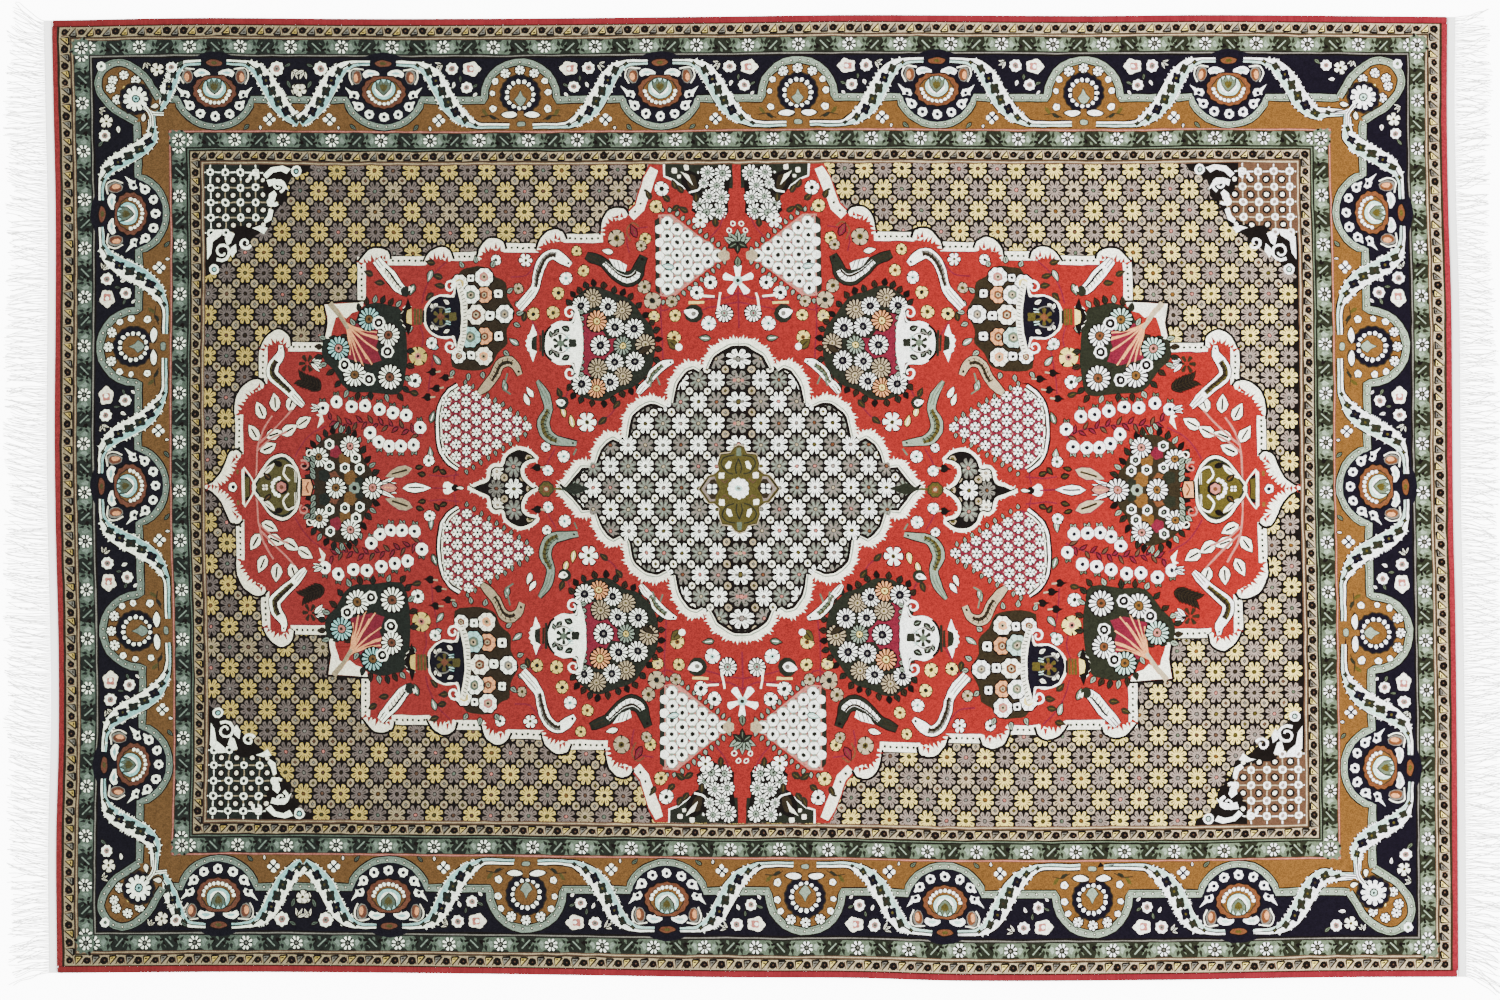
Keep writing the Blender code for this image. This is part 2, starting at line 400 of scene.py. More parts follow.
def cell_flower(pen, rx, ry, body, slit, heart):
    """The eight-lobed flower of the floret lattice."""
    k = np.arange(24) * TAU / 24
    swell = np.tile((0.86, 1.09, 1.09), 8)
    pen.fill(np.column_stack((rx * swell * np.cos(k), ry * swell * np.sin(k))), body, 0.1)
    for j in range(8):
        a = j * TAU / 8
        c, s = math.cos(a), math.sin(a)
        wide = 0.2 if j % 2 == 0 else 0.1
        pen.fill(((rx * 0.42 * c, ry * 0.42 * s), (rx * (c - wide * s), ry * (s + wide * c)),
                  (rx * (c + wide * s), ry * (s - wide * c))), "black", 0.2)
        c, s = math.cos(a + TAU / 16), math.sin(a + TAU / 16)
        pen.fill(((rx * 0.4 * c, ry * 0.4 * s), (rx * (0.84 * c - 0.07 * s), ry * (0.84 * s + 0.07 * c)),
                  (rx * (0.84 * c + 0.07 * s), ry * (0.84 * s - 0.07 * c))), slit, 0.2)
    pen.fill(ring_of(6, rx * 0.3), "black", 0.2)
    pen.fill(ring_of(5, rx * 0.2), heart, 0.2)


def cell_lozenge(pen, r, body="cream", heart="grey", edge="black"):
    pen.fill(ring_of(8, r + 1.7, turn=TAU / 16), edge)
    pen.fill(ring_of(8, r + 0.5) * (1, 1.05), body, 0.12)
    pen.fill(ring_of(4, r * 0.62), edge)
    pen.fill(ring_of(4, r * 0.4), heart, 0.2)


# ---------------------------------------------------------------- charts: how the drawing drifts

def frame_chart(p):
    x, y = p[:, 0], p[:, 1]
    return np.column_stack((x - 2 * (1 - (x / BODY_X) ** 4), y + 4 * (1 - (y / BODY_Y) ** 4)))


def field_chart(p):
    q = frame_chart(p)
    q[:, 0] -= 5 * (1 - np.clip(p[:, 0] / FIELD_X, -1, 1) ** 2)
    return q


def medallion_chart(p):
    """The weaver came out a little left of and above the middle, and the halves differ."""
    x, y = p[:, 0], p[:, 1]
    return np.column_stack((x - 15 + np.where(x < 0, 27 * (x / 562) ** 2, 0),
                            y + 8 - np.where(y < 0, 9.5 * (y / 324) ** 2, 0)))


STRAIGHT, FRAME, FIELD, MEDALLION = range(4)
CHARTS = (np.asarray, frame_chart, field_chart, medallion_chart)


# ---------------------------------------------------------------- the narrow guards

def sides_at(pen, half_x, half_y):
    """For each side: its pen, with x along it and y inwards, and its half length."""
    far = Pen(pen.cartoon, ((1, 0), (0, -1)), (0, half_y))
    near = Pen(pen.cartoon, ((-1, 0), (0, 1)), (0, -half_y))
    left = Pen(pen.cartoon, ((0, 1), (1, 0)), (-half_x, 0))
    right = Pen(pen.cartoon, ((0, -1), (-1, 0)), (half_x, 0))
    return ((far, half_x), (near, half_x), (left, half_y), (right, half_y))


def band(pen, half, start, end, yarn):
    a, b = half - start, half - end
    pen.slab(((-a, start), (a, start), (b, end), (-b, end)), yarn)


def draw_dotted_guard(pen, start, end):
    """Cream guard with a dark dot and a small open leaf in turn."""
    deep = end - start
    for side, half in sides_at(pen, SQUARE_X - start, SQUARE_Y - start):
        band(side, half, 0.0, 1.0, "brown")
        band(side, half, deep - 1.2, deep, "brown")
        count = round(2 * (half - deep / 2) / 17.2)
        step = 2 * (half - deep / 2) / count
        for k in range(count):
            x = -half + deep / 2 + k * step
            chance = pen.cartoon.chance
            side.dot(x, deep * 0.48, chance.uniform(3.4, 4.3), "black", 8)
            side.dot(x - 0.4, deep * 0.48, 0.9, "line_brown", 5)
            mid = side.at(x + step / 2, deep * 0.5)
            s = deep / 12.4
            mid.fill(((-3.4, 3.2 * s), (2.6, 3.4 * s), (2.2, -3.4 * s)), "butter" if k % 2 else "grey")
            mid.line(((-4.6, 3.9 * s), (2.6, -4.2 * s), (3.3, 3.8 * s)), 1.7, "brown")
            mid.line(((-4.0, 4.1 * s), (3.4, 3.9 * s)), 1.8, "black")
            mid.line(((-0.8, 1.9 * s), (1.9, 1.4 * s)), 1.3, "brown")
            mid.line(((-5.6, 0.5 * s), (-3.4, -3.9 * s)), 1.2, "brown")
            mid.line(((4.4, -3.6 * s), (5.8, 3.0 * s)), 1.2, "line_brown")


def draw_green_guard(pen, start, end, pitch):
    """Green guard: white rosettes on pale patches, dark scrolls between."""
    deep = end - start
    mid = deep / 2
    for side, half in sides_at(pen, SQUARE_X - start, SQUARE_Y - start):
        count = round(2 * (half - deep) / pitch)
        step = 2 * (half - deep) / count
        for k in range(count + 1):
            x = -half + deep + k * step
            patch = side.at(x, mid)
            h = mid - 0.4
            patch.fill(((-18, -h), (-9, -h), (-7, -h * 0.7), (7, -h * 0.7), (9, -h), (18, -h), (16, -2),
                        (19, h * 0.3), (15, h), (-15, h), (-19, h * 0.3), (-16, -2)), "grey_green", 0.12)
            for hand in (-1, 1):
                inner = patch.at(0, 0, flip=1) if hand > 0 else Pen(
                    pen.cartoon, patch.turn @ np.diag((-1, 1)), patch.place)
                inner.at(9.5, 0.5).fill(((-2, -2), (0, -4.5), (1.5, -1), (3.4, 1), (1, 3.4), (-1.6, 2.4)),
                                        "pale_green", 0.15)
                inner.at(12.5, -h + 0.4, 1.2).fill(((0, -1), (5, -1.8), (7, 0), (4.6, 1.6)), "dark_green")
                inner.at(11.5, h - 0.3, -1.1).fill(((0, -1), (4, -1.6), (6, 0), (4, 1.5)), "dark_green")
                inner.at(17.4, 3.0, 0.2).fill(((-2, -1.2), (2.2, -1), (2.6, 1), (-2, 1.4)), "black")
            rosette8(patch, min(6.6, mid * 0.86))
            if k == count:
                continue
            gap = side.at(x + step / 2, mid)
            hand = 1 if k % 2 else -1
            gap.line(((-4.2 * hand, 4.4), (3.8 * hand, -3.8)), 1.3, "pale_green")
            gap.line(((-7.6 * hand, 1.4), (-3.4 * hand, -4.4)), 1.0, "grey_green")
            gap.at(1.6 * hand, 4.2, 0.9).fill(((-2, -1), (1.6, -1.6), (3, 0), (1, 1.4)), "grey_green")
            gap.at(7.2 * hand, 1.2, -0.7 * hand).fill(((-3, -1), (2, -1.6), (4, 0), (1, 1.5)), "black")
            gap.at(-4.8 * hand, -0.6, 0.5).fill(((-2, -1), (1, -1.4), (3, 0), (0.6, 1.3)), "black")
    for cx in (-1, 1):
        for cy in (-1, 1):
            x, y = cx * (SQUARE_X - start - mid), cy * (SQUARE_Y - start - mid)
            pen.at(x, y).fill(ring_of(8, mid * 1.2), "grey_green")
            rosette8(pen.at(x, y), min(6.6, mid * 0.86))


def draw_frames(pen):
    """The plain bands of all the borders, from the red stripe in to the field line."""
    plan = (("cream", 0.0, BANDS[0]), ("line_brown", BANDS[0], BANDS[1]), ("dark_green", BANDS[1], BANDS[2]),
            ("black", BANDS[2], BANDS[3]), ("rust", BANDS[4], BANDS[5]), ("dark_green", BANDS[5], BANDS[6]),
            ("black", BANDS[6], BANDS[7]), ("cream", BANDS[7], BANDS[8]), ("line_brown", BANDS[8], BANDS[9]))
    for yarn, start, end in plan:
        for side, half in sides_at(pen, SQUARE_X, SQUARE_Y):
            band(side, half, start, end, yarn)
    for side, half in sides_at(pen, SQUARE_X, SQUARE_Y):
        band(side, half, -1.6, 0.7, "brown")
    for start, wide, yarn in ((BANDS[0] + 0.9, 1.1, "cream"), (BANDS[2] + 0.9, 1.3, "grey"),
                              (BANDS[4] + 0.8, 1.1, "pink"), (BANDS[6] + 1.3, 1.1, "grey_green"),
                              (BANDS[8] + 1.1, 1.3, "cream")):
        for side, half in sides_at(pen, SQUARE_X, SQUARE_Y):
            band(side, half, start, start + wide, yarn)


# ---------------------------------------------------------------- the main border

LONG_STATIONS = (("navy", -535), ("valley", -450), ("navy", -365), ("gold", -228), ("navy", -88),
                 ("gold", 50), ("navy", 189), ("gold", 336), ("navy", 481))
SHORT_STATIONS = (("navy", -274), ("gold", -140), ("navy", 6), ("gold", 146), ("navy", 280))
JOIN = 57.0  # where the vines meet, from the corner along and in


def arch(half, rise, foot, turns=14):
    """Round-topped arch that stands on the divider, opening inwards."""
    a = np.linspace(math.pi, 0, turns)
    top = np.column_stack((half * np.cos(a), (half + rise) - half * np.sin(a)))
    return np.vstack(((-half, foot), top, (half, foot)))


def divider_path(stations, half):
    """The line between the two grounds: round the navy bulges and over the gold arches."""
    path = [np.array(((-half + 66, DIVIDER - 1), (-half + 72, DIVIDER)))]
    for kind, x in stations:
        if kind == "navy":
            a = np.linspace(0.3, math.pi - 0.3, 15)
            bulge = np.column_stack((-40 * np.cos(a), 31 + 39.5 * np.sin(a)))
            path.append(np.vstack(((-50, DIVIDER), bulge, (50, DIVIDER))) + (x, 0))
        elif kind == "gold":
            path.append(arch(36.5, 4.0, DIVIDER) + (x, 0))
    path.append(np.array(((half - 72, DIVIDER), (half - 66, DIVIDER - 1))))
    return np.vstack(path)


def pale_ribbon(pen, path, width=7.0):
    """Pale band with a dark line on both sides and small rings along it."""
    pen.line(path, width + 2.4, "black")
    pen.line(path, width, "pale_green")
    pen.line(offset(path, 2.2), 1.0, "grey_green")
    for x, y, turn in walked(path, 9.0, 4.0):
        pen.at(x, y, turn).fill(ring_of(6, 1.7), "dark_green")
        pen.at(x, y, turn).fill(ring_of(5, 0.8), "ivory")


def vine(pen, path, width, hand=1.0):
    """The thick white ribbon with dark leaves strung along its middle."""
    smooth = curve(np.column_stack((path, width)), 4)
    line, wide = smooth[:, :2], smooth[:, 2]
    pen.line(line, wide + 2.6, "black")
    pen.line(line, wide, "white")
    pen.line(offset(line, hand * wide * 0.3), np.maximum(wide * 0.36, 1.0), "aqua")
    pen.line(line, np.where(wide > 8, 1.5, 1.2), "dark_green")
    chance = pen.cartoon.chance
    for x, y, turn in walked(line, 2.0, 1.0):
        near = int(np.argmin(np.hypot(line[:, 0] - x, line[:, 1] - y)))
        if wide[near] < 8:
            continue
        for side in (-1, 1):
            if chance.random() < 0.42:
                out = side * wide[near] / 2
                pen.at(x, y, turn).fill(((-1.2, out * 0.98), (0, out + side * 2.0), (1.2, out * 0.98)),
                                        "white")
    for k, (x, y, turn) in enumerate(walked(line, 12.4, 9.0)):
        near = int(np.argmin(np.hypot(line[:, 0] - x, line[:, 1] - y)))
        if wide[near] < 7:
            continue
        r = min(4.8, wide[near] * 0.3)
        yarn = "dark_green" if k % 3 else "navy"
        pen.at(x, y, turn + 0.35).fill(lobed(4, r * 1.25, 0.34, 1.15, 0.95), yarn)
        pen.at(x, y, turn + 0.35).dot(0, 0, r * 0.3, "olive" if k % 2 else "brown", 5)


SLOPE = ((13, 5, 5), (30, 6, 6), (42, 11, 12), (51, 21, 16), (58, 34, 17), (66, 48, 17), (76, 59, 14),
         (87, 66, 9), (98, 69.5, 5.6))
SHORT_SLOPE = ((13, 5, 5), (29, 6, 6), (38, 13, 11), (44, 26, 13), (50, 40, 13), (56, 50, 11), (60, 55, 8),
               (62, 57, 6), (64, 58, 5))


def draw_navy_roundel(pen):
    """Palmette on navy, with a half wreath of ring flowers."""
    a = np.linspace(0, TAU, 29)[:-1]
    pen.fill(np.column_stack((37 * np.cos(a), 31 + 37 * np.sin(a))) * (1, 1), "navy", 0)
    for x, y, tail in ((-29.6, 38.5, 0.9), (-25, 49.6, 0.5), (-14.6, 57.6, 0), (0, 60.2, 0),
                       (14.2, 57.8, 0), (24.6, 49.6, 0.5), (29, 38.5, 0.9)):
        flip = -1.0 if x < 0 else 1.0
        spot = Pen(pen.cartoon, pen.turn @ np.diag((flip, -1)), pen.turn @ np.array((x, y)) + pen.place)
        ring_flower(spot, 4.9, tail=tail)
    for side in (-1, 1):
        wing = Pen(pen.cartoon, pen.turn @ np.diag((side, 1)), pen.place)
        wing.fill(ring_of(9, 1, 5.6, 8.2) + (27, 19), "grey")
        wing.fill(ring_of(9, 1, 4.2, 6.6) + (26.4, 19.6), "rust")
        wing.fill(ring_of(7, 1, 2.4, 4.4) + (27.6, 20.2), "peach")
        wing.line(curve(((20, 12), (31, 11), (34.5, 19), (31, 27))), 1.4, "ivory")
        wing.fill(curve(((3.5, 17), (8, 13), (15, 11.6), (20.5, 15.5), (18, 20), (13.5, 18.2), (9, 21)), 2,
                        True),
                  "white")
        wing.fill(curve(((8, 16), (13, 13.8), (17, 16), (13, 17)), 2, True), "aqua")
        wing.fill(((24, 43), (33, 45), (36.5, 41), (31, 40)), "navy")
    pen.at(0, 34.5).fill(lobed(14, 23.4, 0.05, 1.0, 0.79), "black")
    pen.at(0, 34.5).fill(lobed(14, 22.2, 0.07, 1.0, 0.78), "rust")
    pen.at(0, 34.5).fill(lobed(12, 17.6, 0.05, 1.0, 0.8), "brown")
    pen.at(0, 34.5).fill(lobed(12, 16.4, 0.05, 1.0, 0.8), "gold")
    bead = pen.at(0, 33.2)
    for k in range(11):
        a = 0.12 + k * (math.pi - 0.24) / 10
        bead.dot(15.2 * math.cos(a), 13.4 * math.sin(a), 1.9, "white", 6)
    bead.fill(ring_of(18, 1, 12.4, 11.2) + (0, -1.6), "dark_green")
    bead.fill(ring_of(18, 1, 11.6, 10.4) + (0, -1.6), "aqua")
    bead.fill(ring_of(14, 1, 8.6, 7.4) + (0, -1.6), "white")
    flame = ((-7, -6), (-4.4, -3.2), (-2.4, -7.6), (0, -4), (2.4, -7.6), (4.4, -3.2), (7, -6), (6.4, 1.4),
             (3, 5.4),
             (0, 7.6), (-3, 5.4), (-6.4, 1.4))
    pen.at(0, 29.5).fill(np.array(flame) * 1.16, "dark_green")
    pen.at(0, 29.5).fill(flame, "grey_green")
    pen.at(0, 29.8).fill(np.array(flame) * (0.55, 0.6), "olive")
    pen.fill(((-5, 9), (5, 9), (4.4, 18.6), (-4.4, 18.6)), "navy")
    pen.fill(lobed(5, 9.6, 0.06, 1.0, 0.44, 0.3) + (0, 5.4), "black")
    pen.fill(lobed(5, 8.4, 0.06, 1.0, 0.4, 0.3) + (0, 5.6), "rust")
    pen.fill(ring_of(6, 1, 3.4, 1.8) + (0, 5.6), "olive")


def draw_gold_roundel(pen):
    """Wreathed pomegranate on gold, with scattered white flowers."""
    pen.fill(lobed(16, 21.4, 0.05) + (0, 37.6), "brown")
    pen.fill(lobed(16, 20.4, 0.07) + (0, 37.6), "navy")
    petals(pen.at(0, 37.6), 15, 10.6, 15.6, 4.2, "white")
    pen.fill(lobed(8, 12.2, 0.06) + (0, 38), "brown")
    pen.fill(lobed(8, 11.2, 0.06) + (0, 38), "gold")
    bud = ((0, -8.5), (2.4, -3), (6, 0.6), (3.4, 4.8), (0, 7.4), (-3.4, 4.8), (-6, 0.6), (-2.4, -3))
    pen.at(0, 42).fill(np.array(bud) * 1.14, "dark_green")
    pen.at(0, 42).fill(bud, "pale_green")
    for x, y in ((-14.6, 15.8), (0, 12.6), (14.6, 15.8)):
        star_flower(pen.at(x, y), 4.8, 7, "white", "brown")
    for x, y, r in ((-25, 24, 3.4), (25, 24, 3.2), (-28, 36, 2.8), (28, 35.4, 3.4), (-27.4, 52, 3.6),
                    (27.4, 52, 3.8)):
        pen.at(x, y).fill(lobed(5, r + 0.9, 0.1), "brown")
        pen.at(x, y).fill(lobed(5, r, 0.14), "white")
        pen.dot(x, y, r * 0.32, "butter", 5)
    for side in (-1, 1):
        wing = Pen(pen.cartoon, pen.turn @ np.diag((side, 1)), pen.place)
        wing.fill(curve(((2.5, 57), (8, 54.5), (15, 54.8), (21, 58.4), (16.5, 61.6), (9.5, 62.4), (4, 61)),
                        2, True),
                  "brown")
        wing.fill(curve(((3.5, 58), (8, 55.5), (14.5, 55.8), (19, 58.4), (15.5, 60.8), (9.5, 61.2)), 2,
                        True), "white")
        wing.at(28, 61, -0.5).fill(((-4, -1.2), (2, -2), (5, 0), (1, 1.8), (-3, 1.4)), "dark_green")
        wing.at(36, 56, -0.9).fill(((-4, -1.2), (2, -2), (5, 0), (1, 1.8), (-3, 1.4)), "olive")
        wing.line(((22, 63.4), (30, 58.6), (40, 60)), 1.0, "brown")
    pen.fill(((-3.2, 54), (3.2, 54), (2.8, 66), (-2.8, 66)), "gold")
    pen.fill(lobed(4, 5.4, 0.1, 1.0, 0.62) + (0, 67.6), "brown")
    pen.fill(lobed(4, 4.4, 0.1, 1.0, 0.6) + (0, 67.6), "pale_green")


def draw_border_flowers(pen, spots):
    """Loose flowers in the dark corners of the border."""
    for kind, x, y, r in spots:
        spot = pen.at(x, y, turn=0.4 * (x % 7))
        if kind == "bloom":
            bloom(spot, r, 8, "white", "black", "pink", "grey", "brown")
        elif kind == "peony":
            spot.fill(lobed(5, r * 1.1, 0.2, 1.1, 0.9), "ivory")
            spot.fill(lobed(4, r * 0.6, 0.3) + (r * 0.15, 0), "pink")
            spot.fill(ring_of(5, r * 0.28), "white")
        elif kind == "star":
            star_flower(spot, r, 5, "ivory", "olive", "brown")
        elif kind == "leaf":
            leaf(spot, r * 2, r * 0.8, "grey_green", "dark_green")
        elif kind == "spray":
            for a in (-0.7, 0, 0.7):
                leaf(spot.at(0, 0, a), r * 1.5, r * 0.42, "ivory", "black")
        elif kind == "four":
            four_petal(spot, r)
        elif kind == "bud":
            leaf(spot, r * 2, r * 1.1, "white", "pink")


def draw_corner(pen):
    """The big corner lobe, symmetric about its diagonal. x along one side, y along the other."""
    half_loop = ((66, 42), (59, 31), (53, 21), (44, 12.5), (33, 5.6), (21, 4.6), (10.6, 10.6))
    loop = list(half_loop) + [(y, x) for x, y in half_loop[-2::-1]]
    inside = curve(loop, 3)
    pen.fill(np.vstack((inside, (52, 66), (66, 52))), "gold", 0)
    pale_ribbon(pen, inside)
    for x, y in ((19.4, 22.2), (30.5, 17.2), (42.5, 23.2), (17.2, 30.5), (23.2, 42.5)):
        star_flower(pen.at(x, y), 4.6, 7, "white", "brown")
    for x, y in ((50, 32), (32, 50), (31, 30)):
        pen.dot(x, y, 1.8, "butter", 5)
    heart = pen.at(42, 42, -2.36)
    heart.fill(lobed(12, 17.4, 0.05), "brown")
    heart.fill(lobed(12, 16.6, 0.14), "navy")
    petals(heart, 11, 5, 14.4, 5.2, "navy")
    petals(heart, 11, 4, 12.6, 4.4, "white", turn=0.1)
    heart.dot(0, 0, 8.4, "white", 12)
    heart.dot(0, 0, 4.6, "dark_green", 8)
    heart.dot(0, 0, 3.2, "aqua", 7)
    heart.dot(0, 0, 1.4, "black", 5)
    for flip in (0, 1):
        m = np.eye(2) if not flip else np.array(((0, 1), (1, 0)))
        half = Pen(pen.cartoon, pen.turn @ m, pen.place)
        half.fill(curve(((56, 50), (62, 46), (66, 48), (64, 53), (59, 54)), 2, True), "brown")
        half.fill(curve(((57, 50), (62, 47), (65, 49), (62, 52)), 2, True), "ivory")
        half.line(((50, 51), (55, 55), (60, 57.5), (70, 58)), 5.0, "black")
        half.line(((50, 51), (55, 55), (60, 57.5), (70, 58)), 3.4, "white")
        half.line(((51, 51.5), (55, 55), (60, 57.5), (70, 58)), 1.0, "black")
        draw_border_flowers(half, (("star", 64.5, 12, 6.5), ("bloom", 79, 10, 6.0), ("bud", 70, 24, 3.2),
                                   ("leaf", 90, 4, 3.4), ("spray", 52, 5, 4.5)))
    ring_flower(pen.at(8, 8), 4.8, "white", "grey_green")


def draw_main_border(pen):
    """Two grounds, the divider, roundels and the vine, side by side and at the corners."""
    lists = (LONG_STATIONS, tuple((k, -x) for k, x in LONG_STATIONS[::-1]), SHORT_STATIONS,
             tuple((k, -x) for k, x in SHORT_STATIONS[::-1]))
    sides = sides_at(pen, MAIN_X, MAIN_Y)
    for side, half in sides:
        band(side, half, 0, MAIN_DEEP, "gold")
        band(side, half, 0, DIVIDER, "navy")
    for (side, half), stations in zip(sides, lists):
        stations = list(stations)
        for kind, x in stations:
            if kind == "gold":
                side.at(x, 0).fill(arch(36.5, 4.0, DIVIDER + 3), "gold", 0)
            elif kind == "navy":
                a = np.linspace(0.3, math.pi - 0.3, 15)
                side.at(x, 0).fill(np.column_stack((-40 * np.cos(a), 31 + 39.5 * np.sin(a))), "navy", 0)
        pale_ribbon(side, divider_path(stations, half))
        for kind, x in stations:
            if kind == "navy":
                draw_navy_roundel(side.at(x, 0))
            elif kind == "gold":
                draw_gold_roundel(side.at(x, 0))
                for hand in (-1, 1):
                    spot = Pen(side.cartoon, side.turn @ np.diag((hand, 1)),
                               side.turn @ np.array((x, 0)) + side.place)
                    draw_border_flowers(spot, (("bloom", 68.5, 10.6, 6.4), ("peony", 49, 11, 8),
                                               ("bloom", 54, 30, 6),
                                               ("bud", 66, 25, 3), ("spray", 78, 7, 5), ("leaf", 43, 27, 3),
                                               ("bud", 44, 36, 2.6), ("leaf", 60, 19, 2.6)))
            else:
                for hand in (-1, 1):
                    spot = Pen(side.cartoon, side.turn @ np.diag((hand, 1)),
                               side.turn @ np.array((x, 0)) + side.place)
                    draw_border_flowers(spot, (("bloom", 22, 11, 7.4), ("spray", 5, 13, 6.4),
                                               ("leaf", 12, 24, 4),
                                               ("bud", 36, 6, 3), ("star", 1, 33, 6.4), ("leaf", 8, 6, 3.4)))
        for i, (kind, x) in enumerate(stations):
            if kind != "navy":
                continue
            for hand in (-1, 1):
                j = i + hand
                if 0 <= j < len(stations):
                    near, gap = stations[j][0], abs(stations[j][1] - x)
                else:
                    near, gap = "corner", half - abs(x) - JOIN
                rows = np.array(SLOPE, float)
                if near == "corner":
                    t = np.clip((gap - 64) / 54, 0, 1)
                    rows = rows.copy()
                    rows[:, 0] *= 118 / 106
                    rows[:, 1] = np.minimum(rows[:, 1], 58)
                    rows = np.array(SHORT_SLOPE) * (1 - t) + rows * t
                    rows[-1, :2] = gap, 58
                elif near == "valley":
                    rows = np.vstack((rows[:7], ((gap, 65, 13),)))
                else:
                    rows = np.vstack((rows, ((gap - 12, 69.5, 5),)))
                spot = Pen(side.cartoon, side.turn @ np.diag((hand, 1)),
                           side.turn @ np.array((x, 0)) + side.place)
                if near in ("gold", "valley"):
                    draw_border_flowers(spot, (("four", 55, 63.4, 6.2), ("leaf", 34, 69, 3.4),
                                               ("bud", 46, 70, 2)))
                vine(spot, rows[:, :2], rows[:, 2], 1.0)
    for cx, cy in ((-1, 1), (1, 1), (-1, -1), (1, -1)):
        corner = Pen(pen.cartoon, ((-cx, 0), (0, -cy)), (cx * MAIN_X, cy * MAIN_Y))
        draw_corner(corner)


# ---------------------------------------------------------------- the field: floret lattice and corner nets

LATTICE_X, LATTICE_Y = 18.96, 20.9


def inside_medallion(x, y, margin):
    """True well inside the red medallion, where no lattice shows."""
    u, v = abs(x + 13), abs(y - 5)
    u += margin
    v += margin
    steps = ((90, 322), (138, 252), (205, 240), (266, 230), (324, 228), (388, 222), (394, 186), (430, 140),
             (496, 104), (526, 32), (545, 8))
    return any(u < a and v < b for a, b in steps)


def draw_field(pen):
    pen.cartoon.chart = FIELD
    x, y = FIELD_X + 6, FIELD_Y + 6
    pen.slab(((-x, -y), (x, -y), (x, 10), (-x, 10)), "black")
    pen.slab(((-x, 10), (x, 10), (x, y), (-x, y)), "black")
    chance = pen.cartoon.chance
    columns = range(58)
    rows = range(32)
    for j in rows:
        for i in columns:
            x, y = -544 + LATTICE_X * i, -324 + LATTICE_Y * j
            corner = abs(x) > 430 and abs(y) > 215 and (546 - abs(x)) / 108 + (329 - abs(y)) / 112 < 0.9
            if not corner and not inside_medallion(x, y, 15):
                light = (i + j) % 2 == 0
                body = "butter" if light else "mauve"
                if light and chance.random() < 0.12:
                    body = "cream"
                heart = chance.choice(("olive", "line_brown", "olive", "gold", "brown") if light else
                                      ("grey", "line_brown", "pink", "brown", "grey_green"))
                cell_flower(pen.at(x, y, chance.uniform(-0.05, 0.05)), 8.2, 9.0, body,
                            "olive" if light else "brown", heart)
            x += LATTICE_X / 2
            y += LATTICE_Y / 2
            if not corner and not inside_medallion(x, y, 9) and i < 57 and j < 31:
                cell_lozenge(pen.at(x,
                                    y), 3.5, "cream", chance.choice(("grey", "olive", "grey", "line_brown")))
    for cx in (-1, 1):
        for cy in (-1, 1):
            draw_spandrel(Pen(pen.cartoon, ((-cx, 0), (0, -cy)), (cx * FIELD_X, cy * FIELD_Y)), cx > 0)


SPANDREL = ((0, 0), (107, 0), (104, 6), (88, 12), (84, 22), (84, 32), (75, 42), (69, 52), (67, 62), (55, 68),
            (45, 76), (28, 90), (15, 101), (0, 113))


